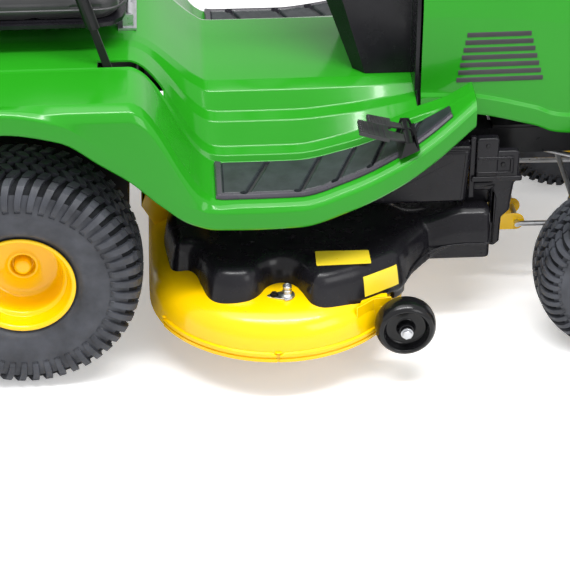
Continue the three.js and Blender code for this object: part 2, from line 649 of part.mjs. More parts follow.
function dash() {
  const outer = hull([
    ...dashOutline.flatMap(([x, z]) => [[x, pedestalHalfWidth - 26, z], [x, 26 - pedestalHalfWidth, z]]),
    ...dashOutline.flatMap(([x, z]) => {
      const [px, pz] = [pedestalFront - (pedestalFront - x) * 0.8, z > 600 ? z - 10 : z];
      return [[px, pedestalHalfWidth, pz], [px, -pedestalHalfWidth, pz]];
    }),
  ]);
  const hollow = plate([
    [706, tunnelHeight - 2], [pedestalFront - 5, tunnelHeight - 2], [pedestalFront - 5, dashHeight - 12],
    [652, dashHeight - 12], [606, 848],
  ], 30 - pedestalHalfWidth, pedestalHalfWidth - 30);
  // The firewall behind the hood carries the shelf for the fuel tank; the steering column tube runs down inside.
  const column = asSolid(disc(15, 180, shaftLength - 40, 0, 0, 16)).transform(shaftMatrix());
  const bore = asSolid(disc(shaftRadius + runningGap, 100, shaftLength, 0, 0, 12)).transform(shaftMatrix());
  const wall = bar(hoodSection(hoodRear, 3).map((p) => [p.y, Math.max(p.z, railTop + gap)]), pedestalFront - 3, pedestalFront + 6);
  const belowFloor = box(pedestalFront - 22, pedestalFront + 1.4, 46 - matInner, matInner - 46, 400, tunnelHeight + gap);
  const casing = union(cut(union(outer, wall), hollow, belowFloor), box(pedestalFront + 5, pedestalFront + 112, -150, 150, 552, 558));
  add("dash_pedestal", cut(union(casing, column), bore, box(pedestalFront - 2, pedestalFront + 10, -34, 34, 430, 490)), black);

  const panel = lofted(roundedRect(668, 808, -106, 106, 14), [[dashHeight + gap, 0], [dashHeight + 9, 0], [dashHeight + 12, 4]]);
  const face = dashHeight + 12;
  add("instrument_panel", cut(
    panel, box(712, 768, -94.6, -77.4, dashHeight - 1, face + 1), disc(4.6, dashHeight + 3, face + 1, 700, -40, 12),
    disc(4.6, dashHeight - 1, face + 1, 760, -40, 12),
  ), satinBlack);
  const barrel = rod([740, -94, dashHeight + 6], [740, -78, dashHeight + 6], 5.4, 16);
  add("throttle_lever", union(
    barrel, plate([[737, dashHeight + 6], [743, dashHeight + 6], [752, face + 26], [746, face + 28]], -89, -83),
    plate([[742, face + 24], [756, face + 20], [762, face + 40], [748, face + 44]], -93, -79),
  ), yellow);
  add("ignition_key", union(
    disc(4, dashHeight + 4, face + 8, 700, -40, 12), disc(11, face + gap, face + 5, 700, -40, 12),
    box(688, 712, -42, -38, face + 4, face + 26),
  ), satinBlack);
  add("pto_knob", union(
    disc(4, dashHeight + 3, face + 10, 760, -40, 12), disc(15, face + gap, face + 20, 760, -40, 16),
  ), yellow);
}

// ---------------------------------------------------------------- pedals
// Each pedal hinges at its front end and reaches back over the mat.
function pedals() {
  const [x, z] = [pedalX, along(floorCurve, pedalX) + pedalRise];
  const outer = along(sideCurve, 680) - 30;
  const pedalBase = (word, y0, y1, posts) => {
    const foot = (at) => along(floorCurve, at) + matThickness + 1.6;
    const parts = [plate([[x - 20, foot(x - 20)], [x + 20, foot(x + 20)], [x + 20, foot(x + 20) + 4], [x - 20, foot(x - 20) + 4]], y0, y1)];
    for (const y of posts)
      parts.push(plate([[x - 17, foot(x - 17) + 2], [x + 17, foot(x + 17) + 2], [x + 9, z + 9], [x - 9, z + 9]], y - 2.5, y + 2.5));
    parts.push(rod([x, y0 + 1, z], [x, y1 - 1, z], 4, 12));
    add(`pedal_base_${word}`, union(...parts), steel);
  };
  const pedal = (name, y0, y1, length, lift) => {
    const angle = THREE.MathUtils.degToRad(lift);
    const at = (d, n) => [x - d * Math.cos(angle) - n * Math.sin(angle), z + d * Math.sin(angle) - n * Math.cos(angle)];
    const pad = plate([at(4, 5), at(length, 5), at(length + 8, 0), at(length, -6), at(4, -6)], y0, y1);
    const knuckle = rod([x, y0, z], [x, y1, z], 9, 16);
    add(name, cut(union(pad, knuckle), rod([x, y0 - 1, z], [x, y1 + 1, z], 4 + runningGap, 16)), black);
  };
  const mid = outer - 66; // between the two right-hand pedals
  pedalBase("right", 2 - outer, 110 - outer, [5 - outer, -mid, 107 - outer]);
  pedal("forward_pedal", 8.1 - outer, -mid - 3.1, 100, 17);
  pedal("reverse_pedal", -mid + 3.1, 103.9 - outer, 76, 14);
  pedalBase("left", outer - 110, outer - 8, [outer - 107, outer - 11]);
  pedal("brake_pedal", outer - 103.9, outer - 14.1, 92, 17);
}

// ---------------------------------------------------------------- hood and engine bay
const hoodStation = (share) => hoodRear + share * (hoodNose - hoodRear);
const hoodTopCurve = [[0, 0], [0.12, 2], [0.29, 8], [0.5, 23], [0.7, 47], [0.86, 73], [0.957, 99], [1, 117]]
  .map(([share, drop]) => [hoodStation(share), hoodTop - drop]);
const hoodSideCurve = [[0, 0], [0.5, 4], [0.86, 14], [1, 26]]
  .map(([share, drop]) => [hoodStation(share), hoodHalfWidth - drop]);

function hoodSection(x, inset = 0) {
  const top = along(hoodTopCurve, x) - inset;
  const side = along(hoodSideCurve, x) - inset;
  const half = [
    [side, hoodBelly], [side, hoodBelly + 40], [side - 5, hoodBelly + 46], [side - 7, top - 190], [side - 14, top - 96],
    [side - 34, top - 42], [side - 66, top - 14], [side - 112, top - 2], [46, top - 2], [34, top],
  ];
  return [...half, ...half.map(([y, z]) => [-y, z]).reverse()].map(([y, z]) => new THREE.Vector3(x, y, z));
}

function hoodParts() {
  const shell = walled(hoodTopCurve.map(([x]) => hoodSection(x)), shellWall);
  add("hood", shell, green);

  const outline = hoodSection(hoodNose).map((p) => [p.y, p.z]);
  const face = facingFront(lofted(outline, [[hoodNose + gap, 1], [hoodNose + 14, 3], [hoodNose + 24, 14]]));
  const slats = [];
  for (let z = 474; z < 640; z += 32) slats.push(box(hoodNose + 14, hoodNose + 30, -150, 150, z, z + 16));
  const lampZ = hoodTop - 204;
  const hole = [56, -160].map((y) => box(hoodNose + 7, hoodNose + 26, y, y + 104, lampZ - 37, lampZ + 37));
  const knuckles = [1, -1].map((s) => union(
    box(hoodNose + 10, hoodHingeX + 6, s * 120 - 8, s * 120 + 8, hoodHingeZ - 6, hoodBelly + 12),
    rod([hoodHingeX, s * 120 - 8, hoodHingeZ], [hoodHingeX, s * 120 + 8, hoodHingeZ], 10, 16),
  ));
  const pin = rod([hoodHingeX, -140, hoodHingeZ], [hoodHingeX, 140, hoodHingeZ], 4 + runningGap, 16);
  add("grille", cut(union(face, ...knuckles), ...slats, ...hole, pin), black);
  for (const [side, word] of [[1, "left"], [-1, "right"]]) {
    const y = side > 0 ? 56 : -160;
    add(`headlight_${word}`, box(hoodNose + 7.4, hoodNose + 25, y + 0.4, y + 103.6, lampZ - 36.6, lampZ + 36.6), clear);
  }
}

function bumper() {
  const x0 = frontEnd - 55 + gap;
  const outline = mirrored([[x0, -168], [frontEnd - 22, -168], [frontEnd, -146]]);
  const body = slab(outline, 336, 418);
  const pocket = box(x0 - 1, frontEnd - 8, -140, 140, 352, 402);
  const ears = [1, -1].flatMap((s) => [-14.6, 14.6].map((offset) => {
    const y = s * 120 + offset;
    return box(hoodHingeX - 12, hoodHingeX + 10, y - 5.6, y + 5.6, 416, hoodHingeZ + 10);
  }));
  const pins = [1, -1].map((s) => rod([hoodHingeX, s * 120 - 18, hoodHingeZ], [hoodHingeX, s * 120 + 18, hoodHingeZ], 4, 12));
  add("front_bumper", union(cut(body, pocket), ...ears, ...pins), black);
}

function engineBay() {
  const base = railTop + 6 + gap;
  const crankBore = disc(12.7 + runningGap, base - 1, base + 30, crankX, 0, 16);
  const block = lofted(roundedRect(crankX - 122, crankX + 122, -116, 116, 40), [[base, 14], [base + 40, 0], [base + 150, 0], [base + 158, 6]]);
  add("engine_block", cut(union(block, disc(60, base, base + 20, crankX, 0)), crankBore), castGrey);
  const cover = upright(turned([
    [0, base + 158.4], [128, base + 158.4], [136, base + 176], [136, base + 236], [116, base + 262], [70, base + 270],
    [0, base + 270],
  ], 20)).translate(crankX, 0, 0);
  add("engine_shroud", cover, satinBlack);
  add("crank_pulley", union(
    disc(12.7, 378, base + 26, crankX, 0, 16), disc(crankPulleyRadius, 380, 386, crankX, 0),
    disc(crankPulleyRadius - 12, 385, 398, crankX, 0), disc(crankPulleyRadius, 397, 402, crankX, 0),
  ), steel);
  const canY = along(hoodSideCurve, crankX + 110) - 42;
  const can = rod([crankX - 110, canY, base + 66], [crankX + 110, canY, base + 66], 30, 16);
  add("muffler", union(can, rod([crankX - 60, 116 + gap, base + 66], [crankX - 60, canY - 22, base + 66], 14, 12),
    rod([crankX + 60, 116 + gap, base + 66], [crankX + 60, canY - 22, base + 66], 14, 12)), castGrey);
  const batteryBody = lofted(roundedRect(wheelbase + 21, wheelbase + 133, -96, 96, 4, 1), [[base, 0], [base + 150, 0], [base + 150, 4], [base + 160, 4]]);
  add("battery", union(batteryBody, disc(8, base + 159, base + 172, wheelbase + 45, -70, 12), disc(8, base + 159, base + 172, wheelbase + 45, 70, 12)), black);
  const capX = pedestalFront + 61;
  const tank = lofted(roundedRect(pedestalFront + 14, pedestalFront + 108, -140, 140, 16), [[558 + gap, 8], [572, 0], [740, 0], [756, 12]]);
  add("fuel_tank", union(tank, disc(26, 755, 768, capX, -80, 16)), satinBlack);
  add("fuel_cap", disc(34, 768 + gap, 790, capX, -80, 24), black);
}

// Side shields between the footrest and the front wheels.
function sideShields() {
  const outline = [
    [800, 302], [1014, 302], [1018, 330], [1048, 350], [1046, 424], [998, 430], [994, 468], [950, 470], [800, 432],
  ];
  for (const [side, word] of [[1, "left"], [-1, "right"]]) {
    const shell = facingSide(lofted(outline, [[railOuter + gap, 0], [252, 0], [258, 5]])).scale(1, -1, 1);
    const hollow = facingSide(lofted(outline, [[railOuter - 5, 5], [251, 5]])).scale(1, -1, 1);
    const clearOfHood = box(790, 1060, 150, 230, hoodBelly - 8, 480);
    const body = cut(union(cut(shell, hollow), box(940, 1000, railOuter + gap, 254, 380, 384)), clearOfHood);
    add(`side_shield_${word}`, side > 0 ? body : body.mirror([0, 1, 0]), black);
  }
}

// ---------------------------------------------------------------- seat
function seat() {
  const [hx, hz] = [seatHingeX, seatHingeZ];
  const top = platformHeight + gap;
  const ears = [1, -1].map((s) => box(hx - 12, hx + 10, s * 118 - 3, s * 118 + 3, top, hz + 10));
  const pads = [78, -78].map((y) => disc(16, top, hz - 5 - gap, -40, y, 16));
  add("seat_hinge", union(
    box(hx - 22, hx + 16, -126, 126, top, top + 5), box(-56, hx - 20, -94, -62, top, top + 5),
    box(-56, hx - 20, 62, 94, top, top + 5), ...pads, ...ears, rod([hx, -120, hz], [hx, 120, hz], 5, 12),
  ), steel);
  add("seat_pan", cut(
    union(
      box(-70, hx - 1, -112, 112, hz - 5, hz + 1), rod([hx, -112, hz], [hx, 112, hz], 11, 16),
      box(-60, 190, 84, 98, hz, hz + 12), box(-60, 190, -98, -84, hz, hz + 12),
    ),
    rod([hx, -130, hz], [hx, 130, hz], 5 + runningGap, 16), box(hx - 13, hx + 12, -60, 60, hz - 12, hz + 12),
  ), steel);
  const railTopZ = hz + 12 + 0.5;
  const runner = (s) => box(-110, hx - 55, s * 102 - 3.4, s * 102 + 3.4, hz + 2, railTopZ + 4);
  add("seat_shell", union(
    lofted(roundedRect(-170, 232, -226, 226, 60), [[railTopZ, 40], [railTopZ + 22, 0], [railTopZ + 30, 0]]),
    runner(1), runner(-1),
    plateAcross([[-170, railTopZ + 6], [-120, railTopZ + 6], [-186, hz + 146], [-200, hz + 146]], 90),
  ), black);
  const cushion = railTopZ + 30 + gap;
  add("seat_cushion", lofted(roundedRect(-128, 238, -228, 228, 56, 4),
    [[cushion, 10], [cushion + 16, 0], [cushion + 52, 0], [cushion + 68, 10], [cushion + 76, 34]]), satinBlack);
  const backAt = new THREE.Matrix4().makeRotationY(THREE.MathUtils.degToRad(-90 - seatBackLean)).setPosition(-168, 0, hz + 86);
  const back = lofted(roundedRect(0, 300, -215, 215, 70, 4), [[-28, 34], [-18, 8], [0, 0], [24, 0], [38, 8], [46, 30]]);
  add("seat_back", cut(asSolid(back).transform(backAt.toArray()),
    asSolid(plateAcross([[-170.6, railTopZ], [-116.8, railTopZ], [-185, hz + 146.6], [-200.6, hz + 146.6]], 90.5))), satinBlack);
}

const plateAcross = (points, half) => plate(points, -half, half);

// ---------------------------------------------------------------- cutting deck
const deckProfile = [
  [deckRadius + 3, deckSkirt], [deckRadius + 3, deckSkirt + 22], [deckRadius, deckSkirt + 24],
  [deckRadius - 4, deckSkirt + 46], [deckRadius - 12, deckSkirt + 66], [deckRadius - 34, deckSkirt + 82],
  [deckRadius - 70, deckTop],
];

// The deck's outer form as a solid, with its skin moved out by grow.
function deckForm(grow, floor = deckSkirt) {
  const profile = deckProfile.map(([r, z], i) => [r + grow, i === 0 ? floor : z + (i > 4 ? grow : 0)]);
  const dome = (s) => upright(turned([[0, floor], ...profile, [0, deckTop + grow]], 24))
    .translate(bladeX, s * bladeHalfSpacing, 0);
  const side = profile.map(([r, z]) => [bladeX + r, z]);
  const bridge = plate(
    [...side, ...side.map(([x, z]) => [2 * bladeX - x, z]).reverse()], -bladeHalfSpacing, bladeHalfSpacing,
  );
  return union(dome(1), dome(-1), bridge);
}

const duct = (inset, x0) => plate([
  [x0, 146 + inset], [x0 + 102, 128 + inset], [x0 + 202, 128 + inset], [x0 + 202, deckTop + 2 - inset],
  [x0 + 172, deckTop + 30 - inset], [x0 + (inset > 0 ? -1 : 0), 306 - inset],
], inset - ductHalfWidth, ductHalfWidth - inset);

function deck() {
  const arms = [1, -1].map((s) => {
    const y = s * 95;
    const tip = hull([
      ...arcPoints(armPinX - 2, 170, 20, -90, 90, 5).flatMap(([x, z]) => [[x, y - 35, z], [x, y + 35, z]]),
      ...[150, 190].flatMap((z) => [[deckFront - 30, y - 35, z], [deckFront - 30, y + 35, z]]),
    ]);
    return cut(tip, box(deckFront + 6, armPinX + 32, y - 31, y + 31, 154, 200));
  });
  const pinSlot = hull([...arcPoints(armPinX + 10, 170, 6.9, -90, 90, 5), ...arcPoints(armPinX - 1, 170, 6.9, 90, 270, 5)]
    .flatMap(([x, z]) => [[x, -140, z], [x, 140, z]]));
  const bracketY = gaugeFace - gaugeWidth - 10;
  const brackets = [1, -1].map((s) => plate(
    [[gaugeX - 115, 122], [gaugeX + 21, 122], [gaugeX + 21, 162], [gaugeX - 69, 175], [gaugeX - 115, 175]],
    s > 0 ? bracketY : -bracketY - 8, s > 0 ? bracketY + 8 : -bracketY,
  ));
  const pins = [1, -1].flatMap((s) => [
    rod([gaugeX, s * bracketY, gaugeZ], [gaugeX, s * (gaugeFace + 6), gaugeZ], 8, 12),
    rod([gaugeX, s * (gaugeFace + 5), gaugeZ], [gaugeX, s * (gaugeFace + 12), gaugeZ], 13, 6),
  ]);
  const pinX = rockX + liftArm * Math.cos(liftSwing);
  const pinZ = rockZ + liftArm * Math.sin(liftSwing);
  const links = [1, -1].flatMap((s) => [
    box(pinX - 9, pinX + 9, s * (linkY - 9.5) - 2.5, s * (linkY - 9.5) + 2.5, deckTop + 10, pinZ + 12),
    rod([pinX, s * (linkY - 10), pinZ], [pinX, s * (linkY + 7), pinZ], 5, 12),
  ]);
  const lugs = [1, -1].map((s) => box(pinX - 10, pinX + 14, s * (linkY - 10) - 3, s * (linkY - 10) + 3, deckTop - 2, deckTop + 26));
  const hubs = [1, -1].flatMap((s) => [
    disc(46, deckTop - 2, deckTop + 5, bladeX, s * bladeHalfSpacing, 16),
    disc(19, deckTop - 2, beltHeight - 12.5, bladeX, s * bladeHalfSpacing, 12),
  ]);
  const outside = union(deckForm(0), duct(0, ductRear), ...arms, ...brackets, ...lugs, ...hubs, ...pins, ...links);
  const inside = deckForm(-deckWall, deckSkirt - 5);
  const ductInside = duct(deckWall, ductRear);
  const bearings = [1, -1].map((s) => disc(12 + runningGap, 180, 240, bladeX, s * bladeHalfSpacing, 16));
  add("mower_deck", cut(outside, inside, ductInside, pinSlot, ...bearings), yellow);

  for (const [side, word] of [[1, "left"], [-1, "right"]]) {
    const y = side * bladeHalfSpacing;
    const blade = box(-bladeRadius + 3, bladeRadius - 3, -29, 29, 132, 137);
    const wings = [1, -1].map((s) => box(s > 0 ? 150 : -bladeRadius + 24, s > 0 ? bladeRadius - 24 : -150,
      s > 0 ? 18 : -29, s > 0 ? 29 : -18, 136, 152));
    const turn = THREE.MathUtils.degToRad(90);
    add(`blade_${word}`, union(
      ...[blade, ...wings].map((g) => g.rotateZ(turn * (side > 0 ? 1 : 0)).translate(bladeX, y, 0)),
      disc(12, 124, beltHeight + 16, bladeX, y, 16), disc(20, 124, 131.9, bladeX, y, 6), disc(17, 136, 185, bladeX, y, 12),
      disc(pulleyRadius, beltHeight - 11, beltHeight - 7, bladeX, y, 20),
      disc(pulleyRadius - 9, beltHeight - 8, beltHeight + 8, bladeX, y, 20),
      disc(pulleyRadius, beltHeight + 7, beltHeight + 11, bladeX, y, 20),
    ), steel);
    const [near, far] = [gaugeFace - gaugeWidth, gaugeFace];
    const tread = ring([
      [8 + runningGap, near + 2], [26, near], [52, near], [gaugeRadius, near + gaugeShoulder], [gaugeRadius, far - gaugeShoulder],
      [52, far], [46, far - 3], [26, far - 18], [22, far - 4], [8 + runningGap, far - 4],
    ].map(([r, h]) => [r, side * h]));
    add(`gauge_wheel_${word}`, turned(tread, 18).translate(gaugeX, 0, gaugeZ), satinBlack);
  }
  const port = upright(turned([
    [0, deckTop + gap], [15, deckTop + gap], [15, deckTop + 6], [9, deckTop + 8], [9, deckTop + 24], [11, deckTop + 26],
    [11, deckTop + 32], [0, deckTop + 32],
  ], 16)).translate(bladeX + 30, -bladeHalfSpacing - 105, 0);
  add("wash_port", port, steel);
}

// The cover over the belts and spindles, and in front of it the two troughs that guard the belt's run to the engine.
function deckCover() {
  const near = [[-96, 118], [-234, 124], [-238, 205]];
  const round = [
    [-225, 43], [-182, 59], [-147, 152], [-120, 184], [-88, 190], [-56, 181], [-31, 149], [-16, 128], [2, 111],
    [12, 82], [24, 67], [40, 67], [52, 82], [62, 117], [64, 167], [73, 221], [94, 221], [130, 209], [169, 187],
    [209, 164], [240, 138], [262, 119], [272, 82], [314, 33], [346, 3],
  ];
  const front = [[348, 205], [278, 186]];
  const outline = mirrored([
    ...near.map(([x, y]) => [bladeX + x, -y]), ...round.map(([x, y]) => [bladeX + x, -bladeHalfSpacing - y]),
    ...front.map(([x, y]) => [bladeX + x, -y]),
  ]);
  const outer = lofted(outline, [[deckTop - 24, 0], [coverTop - 22, 6], [coverTop - 6, 13], [coverTop, 22]]);
  const inner = lofted(outline, [[deckTop - 26, coverWall], [coverTop - 24, coverWall + 6], [coverTop - 5, coverWall + 20]]);
  const armsGap = box(deckFront - 20, deckFront + 100, -136, 136, 140, 200);
  const end = wheelbase - frontTyreRadius - tyreToTrough;
  const bend = (deckFront + end) / 2 - 52;
  const trough = [
    [deckFront - 70, 178], [bend + 15, 150], [end - 8, 150], [end, 158], [end, 262], [end - 35, 292],
    [end - 75, 292], [bend, coverTop - 8], [deckFront - 70, coverTop - 30],
  ];
  const guards = [1, -1].map((s) => facingSide(lofted(trough, [[225, 0], [284, 0], [290, 5]])).scale(1, -s, 1));
  const hollows = [1, -1].map((s) => box(deckFront - 10, end - 7, s > 0 ? 231 : -283, s > 0 ? 283 : -231, 140, 256));
  add("deck_cover", cut(union(cut(outer, inner), ...guards), ...hollows, deckForm(0.8), armsGap), black);
}

// ---------------------------------------------------------------- deck lift
function lift() {
  const arm = (s) => {
    const y = s * linkY;
    const profile = hull([
      ...arcPoints(0, 0, 17, 90, 270, 4), ...arcPoints(liftArm + 4, 0, 13, -90, 90, 4),
    ].flatMap(([x, z]) => [[x, y - 4, z], [x, y + 4, z]]));
    const slot = hull([
      ...arcPoints(liftArm - 7, 0, 6, 90, 270, 4), ...arcPoints(liftArm + 3, 0, 6, -90, 90, 4),
    ].flatMap(([x, z]) => [[x, y - 6, z], [x, y + 6, z]]));
    return cut(profile, slot).rotate([0, -THREE.MathUtils.radToDeg(liftSwing), 0]).translate([rockX, 0, rockZ]);
  };
  const tilt = -liftSwing;
  const reach = platformHeight - rockZ + 120;
  const up = (d, n) => [rockX + d * Math.sin(tilt) + n * Math.cos(tilt), rockZ + d * Math.cos(tilt) - n * Math.sin(tilt)];
  const lever = plate([up(-18, -12), up(-18, 12), up(60, 10), up(reach, 7), up(reach, -7), up(60, -10)], -leverY - 4, -leverY + 4);
  const grip = [...arcPoints(0, 0, 14, 0, 360, 12)].slice(0, 12);
  const gripBody = hull([up(reach - 30, 0), up(reach + 48, 0)].flatMap(([x, z]) => grip.map(([a, b]) => [x + a, -leverY + b, z])));
  add("lift_shaft", union(
    rod([rockX, -leverY - 2, rockZ], [rockX, railOuter + 6, rockZ], 10, 16), arm(1), arm(-1), lever, gripBody,
  ), black);

  const rear = armPinX;
  const sides = [1, -1].map((s) => union(
    rod([rear, s * 138, 170], [frontEnd - 71, s * 138, draftZ], 6, 10),
    rod([frontEnd - 71, s * 144, draftZ], [frontEnd - 71, s * 72, draftZ], 6, 10),
  ));
  add("draft_rod", union(...sides, rod([rear, -144, 170], [rear, 144, 170], 6, 10)), steel);
}

frame();
rearPlate();
transaxle();
rearWheels();
frontWheels();
steering();
frontAxle();
fenderDeck();
footMats();
dash();
pedals();
hoodParts();
bumper();
engineBay();
sideShields();
seat();
deck();
deckCover();
lift();

machine.position.set(-(frontEnd + rearEnd) / 2, 0, 0);
const group = new THREE.Group();
group.name = "riding_lawn_mower";
group.add(machine);
export default group;
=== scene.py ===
"""Looks for the riding lawn mower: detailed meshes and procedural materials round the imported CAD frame.

Lengths in this script are design millimetres, measured from the ground under the rear axle (+X forward,
+Y to the driver's left, +Z up). at() turns them into the row frame's metres.
"""
import math

import bmesh
import bpy
import numpy as np
from mathutils import Matrix, Vector


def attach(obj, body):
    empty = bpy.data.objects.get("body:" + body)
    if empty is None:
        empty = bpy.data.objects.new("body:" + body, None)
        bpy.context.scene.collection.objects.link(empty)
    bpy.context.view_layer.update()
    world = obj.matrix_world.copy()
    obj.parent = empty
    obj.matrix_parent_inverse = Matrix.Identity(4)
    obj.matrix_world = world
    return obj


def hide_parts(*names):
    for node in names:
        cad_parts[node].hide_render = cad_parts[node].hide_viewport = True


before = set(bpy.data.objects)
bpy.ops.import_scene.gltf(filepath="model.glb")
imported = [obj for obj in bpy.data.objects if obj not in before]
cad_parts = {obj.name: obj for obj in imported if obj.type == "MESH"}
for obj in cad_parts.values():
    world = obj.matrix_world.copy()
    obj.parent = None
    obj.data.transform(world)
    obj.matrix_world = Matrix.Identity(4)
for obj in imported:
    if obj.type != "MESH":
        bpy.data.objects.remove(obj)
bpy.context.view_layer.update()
ORIGIN_X = 552.5  # the row frame's origin lies this far ahead of the rear axle


def at(x, y, z):
    return Vector(((x - ORIGIN_X) / 1000, y / 1000, z / 1000))


# ---------------------------------------------------------------- materials
def material(name, colour, rough, metallic=0.0, coat=0.0, mottle=0.06, mottle_scale=9.0, grain=0.0,
             grain_scale=700.0, grain_depth=0.0002, rough_spread=0.08, sheen=0.0, dust=0.0,
             dust_colour=(0.35, 0.33, 0.30), cells=False, brushed=None, transmission=0.0, waviness=0.0,
             specular=0.5):
    mat = bpy.data.materials.new(name)
    mat.use_nodes = True
    tree = mat.node_tree
    nodes, links = tree.nodes, tree.links
    shader = nodes["Principled BSDF"]
    shader.inputs["Metallic"].default_value = metallic
    shader.inputs["Coat Weight"].default_value = coat
    shader.inputs["Coat Roughness"].default_value = 0.05
    shader.inputs["Specular IOR Level"].default_value = specular
    shader.inputs["Sheen Weight"].default_value = sheen
    shader.inputs["Transmission Weight"].default_value = transmission
    place = nodes.new("ShaderNodeTexCoord")
    vector = place.outputs["Object"]
    if brushed:
        stretch = nodes.new("ShaderNodeMapping")
        stretch.inputs["Scale"].default_value = brushed
        links.new(vector, stretch.inputs["Vector"])
        vector = stretch.outputs["Vector"]

    def noise(scale, detail=3.0, source=None):
        n = nodes.new("ShaderNodeTexNoise")
        n.inputs["Scale"].default_value = scale
        n.inputs["Detail"].default_value = detail
        links.new(source or place.outputs["Object"], n.inputs["Vector"])
        return n.outputs["Fac"]

    def ramp(value, low, high, out_low=0.0, out_high=1.0):
        r = nodes.new("ShaderNodeMapRange")
        for key, number in (("From Min", low), ("From Max", high), ("To Min", out_low), ("To Max", out_high)):
            r.inputs[key].default_value = number
        links.new(value, r.inputs["Value"])
        return r.outputs["Result"]

    def mix(factor, first, second):
        m = nodes.new("ShaderNodeMix")
        m.data_type = "RGBA"
        links.new(factor, m.inputs["Factor"])
        for socket, value in ((m.inputs[6], first), (m.inputs[7], second)):
            if isinstance(value, tuple):
                socket.default_value = (*value, 1)
            else:
                links.new(value, socket)
        return m.outputs[2]

    shade = tuple(c * (1 - mottle) for c in colour)
    light = tuple(min(1, c * (1 + mottle) + mottle * 0.01) for c in colour)
    colour_out = mix(ramp(noise(mottle_scale), 0.3, 0.7), shade, light)
    if dust:
        up = nodes.new("ShaderNodeNewGeometry")
        split = nodes.new("ShaderNodeSeparateXYZ")
        links.new(up.outputs["Normal"], split.inputs["Vector"])
        amount = nodes.new("ShaderNodeMath")
        amount.operation = "MULTIPLY"
        links.new(ramp(split.outputs["Z"], -0.2, 1.0, 0.25 * dust, dust), amount.inputs[0])
        links.new(ramp(noise(34, 5), 0.35, 0.75), amount.inputs[1])
        colour_out = mix(amount.outputs["Value"], colour_out, dust_colour)
    links.new(colour_out, shader.inputs["Base Color"])
    smoothest, roughest = max(0.02, rough - rough_spread), rough + rough_spread
    links.new(ramp(noise(mottle_scale * 3, 4), 0.3, 0.7, smoothest, roughest), shader.inputs["Roughness"])

    height = None
    if grain:
        if cells:
            v = nodes.new("ShaderNodeTexVoronoi")
            v.inputs["Scale"].default_value = grain_scale
            links.new(vector, v.inputs["Vector"])
            height = v.outputs["Distance"]
        else:
            height = noise(grain_scale, 2.0, vector)
    normal = None
    waves = noise(14, 1) if waviness else None
    for value, strength, depth in ((height, grain, grain_depth), (waves, waviness, 0.002)):
        if value is None:
            continue
        bump = nodes.new("ShaderNodeBump")
        bump.inputs["Strength"].default_value = strength
        bump.inputs["Distance"].default_value = depth
        links.new(value, bump.inputs["Height"])
        if normal:
            links.new(normal, bump.inputs["Normal"])
        normal = bump.outputs["Normal"]
    if normal:
        links.new(normal, shader.inputs["Normal"])
    return mat


GREEN = material("green_enamel", (0.016, 0.255, 0.009), 0.18, coat=0.12, specular=0.26, mottle=0.04,
                 mottle_scale=3, grain=0.05, grain_scale=260, grain_depth=0.0002, rough_spread=0.04,
                 waviness=0.04)
YELLOW = material("yellow_enamel", (1.0, 0.60, 0.0), 0.22, coat=0.2, specular=0.35, mottle=0.03,
                  mottle_scale=5, grain=0.05, grain_scale=240, grain_depth=0.0002, rough_spread=0.05,
                  waviness=0.03)
BLACK_PAINT = material("black_enamel", (0.009, 0.009, 0.010), 0.34, specular=0.25, mottle=0.2, grain=0.05,
                       grain_scale=300)
PLASTIC = material("moulded_plastic", (0.0085, 0.0080, 0.0105), 0.25, specular=0.24, mottle=0.2,
                   mottle_scale=14, grain=0.10, grain_scale=1500, grain_depth=0.00015, rough_spread=0.05,
                   waviness=0.05)
GRAINED = material("grained_plastic", (0.017, 0.017, 0.019), 0.46, mottle=0.2, grain=0.22, grain_scale=1300,
                   grain_depth=0.0003, cells=True, dust=0.04)
GLOSS_BLACK = material("gloss_black_plastic", (0.006, 0.006, 0.007), 0.2, specular=0.3, mottle=0.15,
                       grain=0.03, rough_spread=0.05)
MAT_RUBBER = material("mat_rubber", (0.019, 0.024, 0.027), 0.42, specular=0.35, mottle=0.25,
                      mottle_scale=30, grain=0.25, grain_scale=1100, grain_depth=0.0003, cells=True)
MAT_EDGE = material("mat_edge", (0.042, 0.038, 0.050), 0.26, mottle=0.15, grain=0.12, grain_scale=900)
# the tyre's rubber painted near-black for the ground between the tread's lugs: painted shade in the grooves
TYRE_GROOVE_SHADE = material("tyre_groove", (0.007, 0.008, 0.010), 0.8, specular=0.2, mottle=0.3, mottle_scale=22,
                     grain=0.2)
TYRE = material("tyre_rubber", (0.040, 0.043, 0.053), 0.5, specular=0.35, mottle=0.35, mottle_scale=22,
                grain=0.35, grain_scale=420, grain_depth=0.0006, dust=0.16, dust_colour=(0.17, 0.17, 0.18),
                rough_spread=0.12)
STEEL = material("zinc_steel", (0.55, 0.56, 0.58), 0.34, metallic=1.0, mottle=0.12, mottle_scale=40,
                 grain=0.12, grain_scale=260, brushed=(1, 1, 9))
CAST = material("cast_metal", (0.30, 0.31, 0.32), 0.5, metallic=0.85, mottle=0.15, mottle_scale=25, grain=0.5,
                grain_scale=320, grain_depth=0.0006)
VINYL = material("seat_vinyl", (0.022, 0.022, 0.024), 0.42, mottle=0.15, mottle_scale=18, grain=0.4,
                 grain_scale=330, grain_depth=0.0004, cells=True, sheen=0.1)
LENS = material("lamp_lens", (0.72, 0.75, 0.78), 0.08, coat=0.8, mottle=0.05, grain=0.3, grain_scale=120,
                transmission=0.35)
LABEL = material("plain_film", (0.90, 0.68, 0.03), 0.33, mottle=0.02, grain=0.03, grain_scale=400)
# black sheath for the valve stems, also painted into the foot mats' grooves as painted shade
BLACK_SHEATH_AND_SHADE = material("black_sheath_and_painted_shade", (0.014, 0.014, 0.016), 0.35, mottle=0.1, grain=0.1, grain_scale=800)


